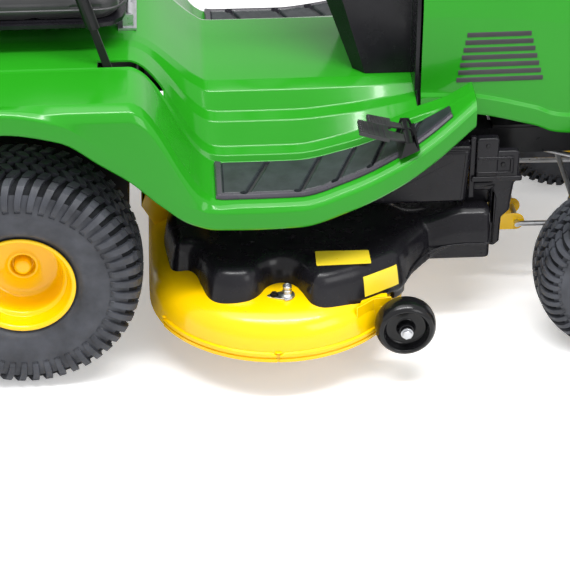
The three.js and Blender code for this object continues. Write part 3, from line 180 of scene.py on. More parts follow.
# ---------------------------------------------------------------- mesh helpers
def rounded(points, radius, steps=4, closed=False):
    """A polyline with its corners turned into arcs: radius is one number, or one for each point."""
    count = len(points)
    radii = radius if isinstance(radius, (list, tuple)) else [radius] * count
    out = []
    for i, p in enumerate(points):
        p = np.array(p, float)
        if not closed and i in (0, count - 1):
            out.append(p)
            continue
        a, b = np.array(points[i - 1], float), np.array(points[(i + 1) % count], float)
        la, lb = np.linalg.norm(a - p), np.linalg.norm(b - p)
        u, v = (a - p) / la, (b - p) / lb
        angle = math.acos(max(-1, min(1, float(u @ v))))
        reach = min(radii[i] / max(math.tan(angle / 2), 1e-3), la * 0.48, lb * 0.48)
        first, last = p + u * reach, p + v * reach
        for k in range(steps + 1):
            t = k / steps
            out.append(first * (1 - t) ** 2 + p * 2 * t * (1 - t) + last * t * t)
    return out


def corners(points, radius, steps=4):
    """A closed outline with its corners turned into arcs."""
    return [tuple(p) for p in rounded(points, radius, steps, closed=True)]


def rectangle(x0, x1, y0, y1):
    return [(x0, y0), (x1, y0), (x1, y1), (x0, y1)]


def smooth_curve(points):
    """A function through [x, value] points without overshoot."""
    xs = np.array([p[0] for p in points], float)
    ys = np.array([p[1] for p in points], float)
    d = np.diff(ys) / np.diff(xs)
    inner = [0 if a * b <= 0 else 2 * a * b / (a + b) for a, b in zip(d, d[1:])]
    m = np.concatenate([[d[0]], inner, [d[-1]]])

    def value(x):
        x = min(max(x, xs[0]), xs[-1])
        i = min(int(np.searchsorted(xs, x, "right")) - 1, len(xs) - 2)
        h = xs[i + 1] - xs[i]
        t = (x - xs[i]) / h
        return float(ys[i] * (1 + 2 * t) * (1 - t) ** 2 + ys[i + 1] * t * t * (3 - 2 * t)
                     + h * m[i] * t * (1 - t) ** 2 - h * m[i + 1] * t * t * (1 - t))
    return value


def make(name, verts, faces, body, mat, slot, replaces=(), sharp=32):
    """A new object of points in design millimetres, riding on one body of the frame."""
    mesh = bpy.data.meshes.new(name)
    mesh.from_pydata([tuple(at(*v)) for v in verts], [], [list(map(int, f)) for f in faces])
    return settle(name, mesh, body, mat, replaces, sharp)


def settle(name, mesh, body, mat, replaces=(), sharp=32):
    """Cleans a mesh, and gives it its material, its body and the CAD node that it stands for."""
    bm = bmesh.new()
    bm.from_mesh(mesh)
    bmesh.ops.remove_doubles(bm, verts=bm.verts, dist=1e-6)
    bmesh.ops.recalc_face_normals(bm, faces=bm.faces)
    bm.to_mesh(mesh)
    bm.free()
    obj = bpy.data.objects.new(name, mesh)
    bpy.context.scene.collection.objects.link(obj)
    mesh.materials.append(mat)
    shade(mesh, sharp)
    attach(obj, body)
    if replaces:
        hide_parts(*([replaces] if isinstance(replaces, str) else replaces))
    return obj


def shade(mesh, sharp):
    """Smooth shading that breaks at edges sharper than this many degrees."""
    bm = bmesh.new()
    bm.from_mesh(mesh)
    limit = math.radians(sharp)
    for face in bm.faces:
        face.smooth = sharp > 0
    for edge in bm.edges:
        edge.smooth = len(edge.link_faces) == 2 and edge.calc_face_angle(0) < limit
    bm.to_mesh(mesh)
    bm.free()


def applied(obj, sharp=None):
    """Applies the object's modifiers to its mesh."""
    deps = bpy.context.evaluated_depsgraph_get()
    mesh = bpy.data.meshes.new_from_object(obj.evaluated_get(deps))
    obj.modifiers.clear()
    obj.data = mesh
    if sharp is not None:
        shade(mesh, sharp)


def bevelled(obj, width, segments):
    """Rounds the edges sharper than 30 degrees."""
    mod = obj.modifiers.new("edges", "BEVEL")
    mod.width = width / 1000
    mod.segments = segments
    mod.limit_method = "ANGLE"
    mod.angle_limit = math.radians(30)


def thickened(obj, wall, sharp=None):
    """Gives a skin a wall of this many millimetres on its inside."""
    mod = obj.modifiers.new("wall", "SOLIDIFY")
    mod.thickness, mod.offset = wall / 1000, -1
    applied(obj, sharp)


def sheet_metal(obj, sharp, in_slot=None):
    """Turns an open skin's faces up, opens a slot where asked, and gives the skin its wall."""
    bm = bmesh.new()
    bm.from_mesh(obj.data)
    if sum(f.normal.z * f.calc_area() for f in bm.faces) < 0:
        bmesh.ops.reverse_faces(bm, faces=bm.faces)
    if in_slot:
        bmesh.ops.delete(bm, geom=[f for f in bm.faces if in_slot(f.calc_center_median())], context="FACES")
    bm.to_mesh(obj.data)
    bm.free()
    thickened(obj, PANEL_WALL, sharp)


def grid_faces(rows, cols, close_rows=False, close_cols=False):
    """The quads between rows of points, each row cols long."""
    faces = []
    for i in range(rows if close_rows else rows - 1):
        for j in range(cols if close_cols else cols - 1):
            a, b = i * cols + j, i * cols + (j + 1) % cols
            c, d = ((i + 1) % rows) * cols + (j + 1) % cols, ((i + 1) % rows) * cols + j
            faces.append((a, b, c, d))
    return faces


def capped(rows, cols):
    """Faces of a solid made of rings: rows rings of cols points each, with both ends filled."""
    last = (rows - 1) * cols
    ends = [tuple(range(cols))[::-1], tuple(range(last, last + cols))]
    return grid_faces(rows, cols, close_cols=True) + ends


def flattened(rows):
    return [p for row in rows for p in row]


def both_halves(x, half):
    """A section from the left-hand edge over the middle to the right-hand edge."""
    return [(x, y, z) for y, z in half] + [(x, -y, z) for y, z in half[-2::-1]]


def slab(front, back, rows, cols):
    """A closed sheet between two grids of points, each of rows by cols."""
    size = rows * cols
    faces = grid_faces(rows, cols)
    faces += [tuple(i + size for i in face[::-1]) for face in faces]
    edge = [*range(cols), *[i * cols + cols - 1 for i in range(1, rows)],
            *[(rows - 1) * cols + j for j in range(cols - 2, -1, -1)],
            *[i * cols for i in range(rows - 2, 0, -1)]]
    faces += [(a, b, b + size, a + size) for a, b in zip(edge, edge[1:] + edge[:1])]
    return front + back, faces


def lathe(profile, centre, axis="Y", segments=96, side=1):
    """Vertices and faces of a profile of (radius, height) points turned about an axis through centre."""
    x, y, z = centre
    verts = []
    for k in range(segments):
        a = 2 * math.pi * k / segments
        for r, h in profile:
            if axis == "Y":
                verts.append((x + r * math.sin(a), y + side * h, z + r * math.cos(a)))
            else:
                verts.append((x + r * math.sin(a), y + r * math.cos(a), z + side * h))
    return verts, grid_faces(segments, len(profile), close_rows=True)


def joined(*parts):
    """Several solids' vertices and faces in one list each."""
    verts, faces = [], []
    for v, f in parts:
        faces += [tuple(i + len(verts) for i in face) for face in f]
        verts += list(v)
    return verts, faces


def prism_faces(count):
    """Faces of a prism: its two ends of count points each, then its sides."""
    sides = [(i, (i + 1) % count, count + (i + 1) % count, count + i) for i in range(count)]
    return [tuple(range(count))[::-1], tuple(range(count, 2 * count)), *sides]


def extruded(outline, low, high, plane="XZ"):
    """A prism of a closed outline: an XZ outline runs across in Y, an XY outline rises in Z."""
    def put(a, b, c):
        return (a, c, b) if plane == "XZ" else (a, b, c)
    verts = [put(a, b, low) for a, b in outline] + [put(a, b, high) for a, b in outline]
    return verts, prism_faces(len(outline))


def block(x0, x1, y0, y1, z0, z1):
    return extruded(rectangle(x0, x1, z0, z1), y0, y1)


def across(way, up):
    """Two unit vectors square to a way and to each other."""
    way = way / np.linalg.norm(way)
    u = np.cross(way, up)
    u /= np.linalg.norm(u)
    return u, np.cross(way, u)


def circle(centre, plane, radius, sides):
    """Points round centre, in the plane of two vectors."""
    u, w = plane
    angles = [2 * math.pi * k / sides for k in range(sides)]
    return [tuple(centre + radius * (u * math.cos(a) + w * math.sin(a))) for a in angles]


def tube(points, radius, sides=12):
    """A round bar along a list of points."""
    pts = [np.array(p, float) for p in points]
    verts, up = [], np.array([0.3, 0.2, 0.93])
    for i, p in enumerate(pts):
        verts += circle(p, across(pts[min(i + 1, len(pts) - 1)] - pts[max(i - 1, 0)], up), radius, sides)
    return verts, capped(len(pts), sides)


def spline(points, steps=8):
    """Points on a smooth curve through the given ones."""
    p = [np.array(q, float) for q in points]
    p = [2 * p[0] - p[1], *p, 2 * p[-1] - p[-2]]
    out = []
    for i in range(1, len(p) - 2):
        for k in range(steps):
            t = k / steps
            out.append(0.5 * (2 * p[i] + (p[i + 1] - p[i - 1]) * t
                              + (2 * p[i - 1] - 5 * p[i] + 4 * p[i + 1] - p[i + 2]) * t * t
                              + (3 * p[i] - p[i - 1] - 3 * p[i + 1] + p[i + 2]) * t ** 3))
    return [*out, p[-2]]


def hexagon(radius, turn=0.0):
    return [(radius * math.cos(turn + k * math.pi / 3), radius * math.sin(turn + k * math.pi / 3))
            for k in range(6)]


# ---------------------------------------------------------------- wheels
REAR_Y, REAR_RADIUS, REAR_RIM = 360, 249, 111
FRONT_X, FRONT_Y, FRONT_RADIUS, FRONT_RIM = 1255, 343, 184, 86


def tyre(node, body, x, y, side, radius, width, rim, pitches, lug):
    """A carcass whose ground under its tread is painted darker, as painted shade between the lugs, and the
    tread's lugs and shoulder ribs.
    """
    crown = radius - lug
    half = width / 2 - 1.5
    mid = (radius + rim) / 2
    pts = [(rim - 8, half * 0.76), (rim + 1, half * 0.775), (rim + 8, half * 0.84),
           (rim + 24, half * 0.945), (mid + 8, half * 0.985), (radius - 44, half * 0.96),
           (radius - 27, half * 0.885), (radius - 17, half * 0.77), (crown - 4, half * 0.55),
           (crown - 1, half * 0.28), (crown, 0)]
    outer = spline(pts, 5)
    profile = outer + [(r, -h) for r, h in outer[-2::-1]]
    inner = [(rim - 8, -half * 0.7), (mid, -half * 0.86), (crown - 14, -half * 0.6), (crown - 14, half * 0.6),
             (mid, half * 0.86), (rim - 8, half * 0.7)]
    # the tread's surface by distance from the crown's centre line
    path = [np.array(p) for p in outer[::-1]]
    length = [0.0]
    for a, b in zip(path, path[1:]):
        length.append(length[-1] + float(np.linalg.norm(b - a)))

    def surface(s, height):
        t = abs(s)
        i = min(int(np.searchsorted(length, t)), len(path) - 1)
        i = max(i, 1)
        f = (t - length[i - 1]) / (length[i] - length[i - 1])
        p = path[i - 1] * (1 - f) + path[i] * f
        d = path[i] - path[i - 1]
        n = np.array([d[1], -d[0]]) / np.linalg.norm(d)
        if n[0] < 0:
            n = -n
        p = p + n * height
        return p[0], math.copysign(p[1], s)

    pitch = 2 * math.pi * radius / pitches
    scale = width / 200  # lengths across the tread are for a tyre 200 wide
    lugs, faces = [], []

    def add_lug(stations):
        """Stations of (distance from the centre line, along the tread, width, height)."""
        base = len(lugs)
        for s, offset, wide, high in stations:
            for shift, level in ((-wide / 2, -1.5), (-wide / 2 + 1.5, high), (wide / 2 - 1.5, high),
                                 (wide / 2, -1.5)):
                r, h = surface(s, level)
                a = (offset + shift) / radius
                lugs.append((x + r * math.sin(a), y + side * h, radius + r * math.cos(a)))
        n = len(stations)
        faces.extend(tuple(i + base for i in f) for f in grid_faces(n, 4))
        faces.append((base, base + 1, base + 2, base + 3))
        faces.append(tuple(base + (n - 1) * 4 + k for k in (3, 2, 1, 0)))

    # five slanting lugs side by side, and a rib that bends round each shoulder
    for k in range(pitches):
        start = k * pitch
        for column in range(5):
            s0 = (-60 + 24.4 * column) * scale
            lean = (1 if column % 2 else -1) * pitch * 0.42
            shift = (0.5 if column in (1, 3) else 0.0) * pitch
            add_lug([(s0 + t * 20.4 * scale, start + shift + lean * (t - 0.5), pitch * wide, lug)
                     for t, wide in ((0, 0.50), (0.14, 0.66), (0.5, 0.68), (0.86, 0.66), (1, 0.50))])
        for way in (1, -1):
            rib = []
            for t in np.linspace(0, 1, 9):
                s = (62 + 72 * t) * scale
                fade = 1 if t < 0.62 else 1 - (t - 0.62) / 0.38 * 0.8
                along = start + pitch * (0.25 if way > 0 else 0.75) + pitch * 0.55 * (1 - t) ** 2.2 * way
                rib.append((way * s, along, pitch * (0.62 - 0.08 * t), lug * fade))
            add_lug(rib if way > 0 else rib[::-1])
    ring = lathe(profile + inner + [profile[0]], (x, y, radius), segments=144, side=side)
    carcass = make(node + "_body", *ring, body, TYRE, "tyre_rubber", node, sharp=50)
    carcass.data.materials.append(TYRE_GROOVE_SHADE)
    # the outward faces under the tread take the near-black rubber: painted shade between the lugs
    for poly in carcass.data.polygons:
        out_x, out_z = poly.center.x * 1000 + ORIGIN_X - x, poly.center.z * 1000 - radius
        if math.hypot(out_x, out_z) > radius - 30 and poly.normal.dot(Vector((out_x, 0, out_z))) > 0:
            poly.material_index = 1
    make(node + "_lugs", lugs, faces, body, TYRE, "tyre_rubber", sharp=20)


def rear_rim(node, body, y, side):
    """A deep dish with a raised hub ring and cap, and a valve on the far side of the hub."""
    r, seat = REAR_RIM, 79.2
    face = [(101.8, seat - 2), (103.5, seat + 1.5), (107, seat + 2.2), (r, seat + 1.4),
            (r + 0.3, seat + 3.2), (r - 1.5, seat + 4.8), (r - 6, seat + 4.4), (r - 10, seat), (98, 70),
            (94, 61), (92.5, 57), (88, 53.5), (85, 49), (82.5, 34), (79, 16), (74, 7), (66, 3), (52, 2.5),
            (38, 4.2), (32, 7), (29, 7.6), (26, 5.6), (24.5, 0.5), (23.6, -5), (21, -7), (19.2, -5),
            (18.6, 4), (17.8, 10), (15.4, 14), (10, 16), (0.01, 16.4)]
    back = [(0.01, -300), (9.4, -300), (9.4, -120), (26, -119), (27, -18), (92, -17), (97, -26),
            (97.5, -seat - 3), (r, -seat - 4), (r, -seat - 0.8), (101.5, -seat)]
    dish = lathe(back + spline(face, 4), (0, y, REAR_RADIUS), side=side)
    make(node + "_disc", *dish, body, YELLOW, "yellow_paint", node, sharp=42)
    foot = (-62, y + side * 56, REAR_RADIUS - 58)
    stem = lathe([(0.01, 0), (4.2, 0), (4.2, 12), (3, 14), (3, 17), (0.01, 17)], foot, "Y", 20, side)
    make(node + "_valve", *stem, body, BLACK_SHEATH_AND_SHADE, "black_plastic")


def front_rim(node, body, y, side):
    """A dish whose hub stands out to the bearing cap."""
    r, seat = FRONT_RIM, 59.7
    face = [(76.8, seat - 2), (78.5, seat + 1.4), (82, seat + 2), (r, seat + 1.4), (r + 0.2, seat + 3),
            (r - 1.4, seat + 4.6), (r - 5, seat + 4.2), (r - 9, seat), (73, 48), (70, 40), (68.5, 22),
            (64, 8), (56, 2), (44, 0), (36, 3), (32, 12), (29, 30), (27, 40), (22, 44.5), (10, 46),
            (0.01, 46.3)]
    back = [(0.01, 38), (10.7, 38), (10.7, -66), (24, -66), (24, -15), (66, -15), (72, -24),
            (72.5, -seat - 3), (r, -seat - 4), (r, -seat - 0.8), (76.5, -seat)]
    dish = lathe(back + spline(face, 4), (FRONT_X, y, FRONT_RADIUS), side=side)
    make(node + "_disc", *dish, body, YELLOW, "yellow_paint", node, sharp=42)


for word, side in (("left", 1), ("right", -1)):
    rear, front = "rear_wheel_" + word, "front_wheel_" + word
    tyre("rear_tyre_" + word, rear, 0, side * REAR_Y, side, REAR_RADIUS, width=200, rim=REAR_RIM,
         pitches=50, lug=8.5)
    rear_rim("rear_rim_" + word, rear, side * REAR_Y, side)
    tyre("front_tyre_" + word, front, FRONT_X, side * FRONT_Y, side, FRONT_RADIUS, width=150, rim=FRONT_RIM,
         pitches=46, lug=7)
    front_rim("front_rim_" + word, front, side * FRONT_Y, side)

# ---------------------------------------------------------------- fender deck and foot mats
lip = smooth_curve([(-332, 492), (-300, 507), (-220, 548), (-120, 588), (-15, 604), (99, 583), (174, 531),
                    (231, 490), (288, 435), (350, 388), (400, 373), (480, 371), (567, 373), (668, 394),
                    (767, 430), (840, 466), (933, 523)])
floor = smooth_curve([(390, 436), (400, 431.4), (410, 429), (422, 428.1), (480, 428), (567, 428.5),
                      (668, 449), (767, 485), (840, 521), (933, 578)])
outer = smooth_curve([(-332, 455), (480, 455), (567, 454), (668, 435), (767, 410), (840, 380), (933, 330)])
# the fender's front slope runs from the platform down to the floor
top = smooth_curve([(-332, 650), (234, 651), (256, 641), (362, 464), (376, 447), (390, 436)])
centre = smooth_curve([(-332, 660), (240, 660), (262, 652), (372, 560), (392, 549), (420, 548), (933, 548)])
MAT_INNER, MAT_REAR, MAT_FRONT = 286, 400, 884  # the foot mats' inner edge and ends
PANEL_WALL = 4  # the thickness of the fender deck and the hood
TOWER_INNER = 238  # the fender's front wings reach in this far beside the dash
LEVER_SLOT = (170, 304, -266, 9)  # the lift lever's slot: its ends in X, its middle in Y, half its width


def fender_section(x):
    """Half of the fender's outline at x, as (y, z) from the left-hand lip in to the middle."""
    side, low = outer(x), lip(x)
    high = floor(x) if x >= 390 else top(x)
    # the outer corner is rounder behind the footrest, and crisper along it
    soft = min(1.0, max(0.0, (440 - x) / 70))
    mid = max(centre(x), high + 2)
    climb = mid - high
    step = min(14.0, climb * 0.3)
    bend = max(low + 47, min(low + 52, high - 8)) * (1 - soft) + max(low + 44, high - 26) * soft
    pts = [(side - 3, low), (side, low + 5), (side - 1, low + 40), (side - 8 + 4 * soft, bend),
           (side - 16 + 3 * soft, max(low + 50, high - 3 - 6 * soft)), (side - 26 - 8 * soft, high),
           (MAT_INNER - 2, high), (MAT_INNER - 8, high + 1), (MAT_INNER - 13, high + step),
           (246, high + step + climb * 0.04), (216, high + climb * 0.52), (190, high + climb * 0.60),
           (168, high + climb * 0.90), (142, mid), (70, mid + 0.5), (0, mid + 0.5)]
    radii = [1, 4, 8, 5 + 9 * soft, 7 + 8 * soft, 10 + 6 * soft, 3, 4, 6, 10, 10, 10, 12, 16, 8, 1]
    return rounded(pts, radii, 3)


def fender():
    """One pressed panel, which parts in front into a wing on each side of the dash."""
    part_x = 822.4
    stations = [*np.arange(-332, 220, 14), *np.arange(220, 410, 5.0), *np.arange(410, 822, 12), part_x]
    full = [both_halves(x, fender_section(x)) for x in stations]
    parts = [(flattened(full), grid_faces(len(full), len(full[0])))]
    for side in (1, -1):
        rows = []
        for x in [part_x, *np.arange(832, 930, 10), 933]:
            half = fender_section(x)
            pts, cut = [], False
            for (y0, z0), (y1, z1) in zip(half, half[1:]):
                if cut:
                    pts.append((TOWER_INNER, last))
                    continue
                pts.append((y0, z0))
                if y1 < TOWER_INNER:
                    f = (y0 - TOWER_INNER) / max(y0 - y1, 1e-6)
                    last, cut = z0 + (z1 - z0) * f, True
            pts.append((TOWER_INNER, last))
            rows.append([(x, side * y, z) for y, z in pts])
        parts.append((flattened(rows), grid_faces(len(rows), len(rows[0]))))
    obj = make("fender_skin", *joined(*parts), "chassis", GREEN, "green_paint", "fender_deck", 30)
    rear, front, middle, half_wide = LEVER_SLOT

    def in_slot(c):
        return abs(c.y * 1000 - middle) < half_wide and rear < c.x * 1000 + ORIGIN_X < front
    sheet_metal(obj, 32, in_slot)


fender()


def foot_mat(side, word):
    """A ribbed rubber mat: slanting grooves that end in slots, and a raised rim along the outer edge. The
    groove floors and slot ends are painted near-black as painted shade.
    """
    xs = np.linspace(MAT_REAR, MAT_FRONT, 300)
    across = np.linspace(0, 1, 72)
    grooves = [(458, 512), (566, 620), (642, 692), (714, 758), (786, 826)]
    verts, tints = [], []
    for x in xs:
        y0, y1 = MAT_INNER + 1, outer(x) - 27.5
        for v in across:
            y = y0 + (y1 - y0) * v
            outer_edge = min(y1 - y, x - MAT_REAR)
            rim = outer_edge < 15
            inset = min(x - MAT_REAR, MAT_FRONT - x, y - y0, y1 - y)
            h = 7.6 + (2.4 if rim else 0) - 5.6 * max(0, 1 - inset / 3)
            if 13 <= outer_edge < 16.5:
                h -= 1.6
            tint = 1 if rim else 0
            for a, b in grooves:
                centre_x = b + (a - b) * v
                end = math.hypot(x - a + 1, y1 - y - 13)
                # groove floors and slot ends get the near-black tint 2: painted shade in place of their depth
                if (v > 0.03 and not rim and abs(x - centre_x) < 4.6) or end < 7.5:
                    h, tint = 1.2, 2
                elif v > 0.03 and not rim and abs(x - centre_x) < 7.0:
                    h -= 1.4
            verts.append((x, side * y, floor(x) + max(h, 0.7)))
            tints.append(tint)
    n, m = len(xs), len(across)
    under = [(x, y, floor(x) + 0.5) for x, y, _ in verts]
    obj = make("foot_mat_rubber_" + word, *slab(verts, under, n, m), "chassis", MAT_RUBBER, "mat_rubber",
               "foot_mat_" + word, sharp=28)
    obj.data.materials.append(MAT_EDGE)
    # the third material is the near-black painted shade on the groove floors and slot ends
    obj.data.materials.append(BLACK_SHEATH_AND_SHADE)
    for poly in obj.data.polygons:
        poly.material_index = min(tints[i % (n * m)] for i in poly.vertices)


foot_mat(1, "left")
foot_mat(-1, "right")


# ---------------------------------------------------------------- cutting deck
DECK_X, SPINDLE = 528, 263  # the spindles lie this far out on either side
SKIRT, DECK_TOP = 102, 205
GAUGE_X, GAUGE_Z = 785, 142  # the gauge wheels' pins


def stadium(radius):
    """A plan outline round both spindles."""
    around, between = 40, 12
    out = []
    for side in (1, -1):
        for k in range(around + 1):
            a = (0 if side > 0 else math.pi) + math.pi * k / around
            out.append((DECK_X + radius * math.cos(a), side * SPINDLE + radius * math.sin(a)))
        for k in range(1, between):
            out.append((DECK_X - side * radius, side * (SPINDLE - 2 * SPINDLE * k / between)))
    return out


def deck_skin():
    """The pressed shell over both blades, with an opening into the rear duct."""
    edge = [(271.6, SKIRT), (271.6, SKIRT + 14)]
    dome = [(271.6, 128), (270.8, 142), (268, 157), (262, 171), (252, 183), (238, 192), (221, 198.5),
            (203, 202.5), (188, 204.4), (172, DECK_TOP)]
    profile = edge + spline(dome, 4)
    rings = [stadium(r) for r, z in profile]
    verts = [(x, y, z) for (r, z), row in zip(profile, rings) for x, y in row]
    n, m = len(profile), len(rings[0])
    faces = grid_faces(n, m, close_cols=True) + [tuple((n - 1) * m + j for j in range(m))]
    obj = make("deck_shell", verts, faces, "deck", YELLOW, "yellow_paint", "mower_deck", sharp=40)
    thickened(obj, 3, 40)
    # the opening into the rear duct
    cutter = bpy.data.meshes.new("duct_space")
    v, f = extruded([(200, 146), (290, 134), (330, 131), (330, 199), (200, 199)], -109, 109)
    cutter.from_pydata([tuple(at(*p)) for p in v], [], f)
    hole = bpy.data.objects.new("duct_space", cutter)
    bpy.context.scene.collection.objects.link(hole)
    mod = obj.modifiers.new("opening", "BOOLEAN")
    mod.operation, mod.object, mod.solver = "DIFFERENCE", hole, "EXACT"
    applied(obj, 40)
    bpy.data.objects.remove(hole)


deck_skin()


def deck_strip():
    """The stepped wear strip along the lower edge, welded on in two lengths at each end of the deck."""
    parts = []
    for a0, a1, centre_y in ((-152, -92.5, -SPINDLE), (-91.5, -34, -SPINDLE), (34, 91.5, SPINDLE),
                             (92.5, 152, SPINDLE)):
        rows = []
        for a in np.linspace(a0, a1, 44):
            end = min(a - a0, a1 - a)
            drop = 0 if end > 2.2 else 3.5
            section = [(271.4, SKIRT + 1), (275, SKIRT + 1.2), (275.2, SKIRT + 9), (272, SKIRT + 10.2),
                       (272, SKIRT + 13.6), (276.2, SKIRT + 14.8), (276.2, SKIRT + 22.5 - drop),
                       (271.4, SKIRT + 24.5 - drop)]
            c, s = math.cos(math.radians(a)), math.sin(math.radians(a))
            rows += [(DECK_X + r * c, centre_y + r * s, z) for r, z in section]
        parts.append((rows, capped(44, 8)))
        for a in (a0, a1):
            c, s = math.cos(math.radians(a)), math.sin(math.radians(a))
            parts.append(lathe([(0.01, 0), (5, 0), (5, 1.2), (0.01, 1.8)],
                               (DECK_X + 272 * c, centre_y + 272 * s, SKIRT + 24), "Z", 16, 1))
    obj = make("deck_strip", *joined(*parts), "deck", YELLOW, "yellow_paint", "mower_deck", sharp=35)
    bevelled(obj, 0.5, 2)


deck_strip()


def deck_metalwork():
    """The rear duct, lugs, gauge brackets, draft arms, spindle housings and bolts."""
    parts = []
    # rear duct: four plates
    for y in (-112, 109):
        parts.append(extruded([(288, 150), (330, 129), (430, 129), (430, 204), (400, 233), (268, 268),
                               (254, 259), (244, 229)], y, y + 3))
    parts.append(extruded([(244, 229), (288, 150), (330, 129), (430, 129), (430, 132), (331, 132),
                           (290, 152), (247, 230)], -109, 109))
    parts.append(extruded([(268, 268), (400, 233), (430, 204), (430, 200), (399, 229.5), (268, 264.5)],
                          -109, 109))
    for s in (1, -1):
        # lift link lugs, hanger links and spindle housings
        parts.append(block(371, 395, s * 118 - 3, s * 118 + 3, 203, 231))
        parts.append(block(371.8, 389.8, s * 118.5 - 2.5, s * 118.5 + 2.5, 215, 499.5))
        # gauge wheel bracket: a folded arm from the skirt to the wheel's pin
        y0 = 436 if s > 0 else -444
        arm = corners([(672, 122), (792, 122), (805, 132), (805, 152), (794, 161), (716, 174), (672, 174)],
                      [4, 8, 8, 8, 10, 12, 4])
        parts.append(extruded(arm, y0, y0 + 8))
        plate = [(684, 478), (715, 451), (723, 444.5), (758, 442), (758, 438), (721, 440.5), (712, 447),
                 (681, 474.5)]
        shelf = [(688, 472), (720, 444.5), (750, 442), (750, 424), (700, 430)]
        fold = [(672, 440), (700, 440), (690, 390), (676, 378)]
        for plan, low, high in ((plate, 128, 190), (shelf, 186, 190), (fold, 150, 156)):
            plan = [(px, s * py) for px, py in plan]
            parts.append(extruded(plan if s < 0 else plan[::-1], low, high, "XY"))
    obj = make("deck_plates", *joined(*parts), "deck", YELLOW, "yellow_paint", "mower_deck", sharp=30)
    bevelled(obj, 1.0, 2)
    arms = []
    for s in (1, -1):
        y = s * 95
        turns = np.linspace(-math.pi / 2, math.pi / 2, 13)
        tip = [(1066 + 20 * math.cos(a), 170 + 20 * math.sin(a)) for a in turns]
        side_plate = [(778, 151), *tip, (778, 189)]
        arms += [extruded(side_plate, y0, y0 + 4) for y0 in (y - 35, y + 31)]
        for low in (150.4, 186.4):
            arms.append(extruded(rectangle(774, 1044, low, low + 3.6), y - 31, y + 31))
    obj = make("deck_arms", *joined(*arms), "deck", YELLOW, "yellow_paint", "mower_deck", sharp=30)
    bevelled(obj, 0.9, 2)
    steel = []
    for s in (1, -1):
        steel.append(lathe([(0.01, 0), (46, 0), (46, 3), (30, 6.5), (20, 8), (19, 14), (12.8, 14.4),
                            (12.8, -2), (0.01, -2)], (DECK_X, s * SPINDLE, DECK_TOP), "Z", 40))
        steel.append(tube([(380.8, s * 115, 487.5), (380.8, s * 134.6, 487.5)], 5, 16))
    make("deck_spindles", *joined(*steel), "deck", CAST, "cast_metal", "mower_deck", sharp=35)
    bolts = []
    for s in (1, -1):
        bolts.append(tube([(GAUGE_X, s * 437, GAUGE_Z), (GAUGE_X, s * 508, GAUGE_Z)], 7.9, 20))
        washer = [(0.01, 505), (12.6, 505), (12.9, 506.4), (12.6, 507.4), (0.01, 507.4)]
        bolts.append(lathe(washer, (GAUGE_X, 0, GAUGE_Z), "Y", 32, s))
        bolts.append(extruded([(GAUGE_X + a, GAUGE_Z + b) for a, b in hexagon(10.8, 0.3)], s * 507, s * 513))
        crown = [(0.01, 512.8), (8.6, 512.8), (8.0, 513.9), (0.01, 514)]
        bolts.append(lathe(crown, (GAUGE_X, 0, GAUGE_Z), "Y", 24, s))
        for k in range(5):
            a = k * 2 * math.pi / 5
            x, y = DECK_X + 36 * math.cos(a), s * SPINDLE + 36 * math.sin(a)
            bolts.append(extruded([(x + u, y + v) for u, v in hexagon(6)], DECK_TOP + 1, DECK_TOP + 8, "XY"))
    obj = make("deck_bolts", *joined(*bolts), "deck", STEEL, "zinc_steel", "mower_deck", sharp=30)
    bevelled(obj, 0.4, 2)


deck_metalwork()


def gauge_wheel(word, side):
    """A solid wheel with a dish round its hub on the outside."""
    near, far = 446, 502
    inside = [(26, near + 0.5), (44, near + 0.5), (54, near + 4), (61, near + 13), (63.4, near + 24)]
    outside = [(63.4, far - 22), (61.4, far - 12), (57.5, far - 4.5), (53, far - 0.8), (49.5, far),
               (46.8, far - 2.4), (45, far - 8), (43, far - 17), (38, far - 21.5), (28, far - 22.5),
               (19.5, far - 21), (16.5, far - 16), (15.4, far - 6), (14, far - 4.2), (9, far - 4)]
    profile = [(8.8, near + 2), (20, near + 2), *spline(inside, 4), *spline(outside, 4), (8.8, far - 4),
               (8.8, near + 2)]
    make("gauge_wheel_body_" + word, *lathe(profile, (GAUGE_X, 0, GAUGE_Z), "Y", 72, side),
         "gauge_" + word, GLOSS_BLACK, "black_plastic", "gauge_wheel_" + word, sharp=38)


gauge_wheel("left", 1)
gauge_wheel("right", -1)

# ---------------------------------------------------------------- deck cover
COVER = [(432, -118), (362, -120), (310, -128), (293, -160), (290, -205), (294, -250), (298, -285),
         (304, -318), (318, -333), (340, -338), (354, -356), (364, -392), (378, -432), (400, -453),
         (432, -461), (464, -458), (486, -443), (502, -416), (518, -403), (538, -400), (556, -409),
         (568, -430), (577, -452), (587, -470), (600, -478), (617, -480), (640, -474), (668, -463),
         (698, -450), (737, -428), (778, -402), (796, -378), (813, -346), (838, -312), (862, -278),
         (868, -228), (862, -205), (840, -194), (806, -188)]
TOP, WALL_LOW, COVER_WALL, COVER_ROLL = 266.0, 181.5, 3.5, 38.0


def blow_moulded(obj, voxel, rounds):
    """Melts overlapping solids into one skin with soft corners, and opens it underneath."""
    melt = obj.modifiers.new("melt", "REMESH")
    melt.mode, melt.voxel_size, melt.use_smooth_shade = "VOXEL", voxel / 1000, True
    soften = obj.modifiers.new("soften", "SMOOTH")
    soften.factor, soften.iterations = 0.5, rounds
    applied(obj)
    bm = bmesh.new()
    bm.from_mesh(obj.data)
    bmesh.ops.delete(bm, geom=[f for f in bm.faces if f.normal.z < -0.75], context="FACES")
    bm.to_mesh(obj.data)
    bm.free()
    thickened(obj, COVER_WALL)
    for poly in obj.data.polygons:
        poly.use_smooth = True


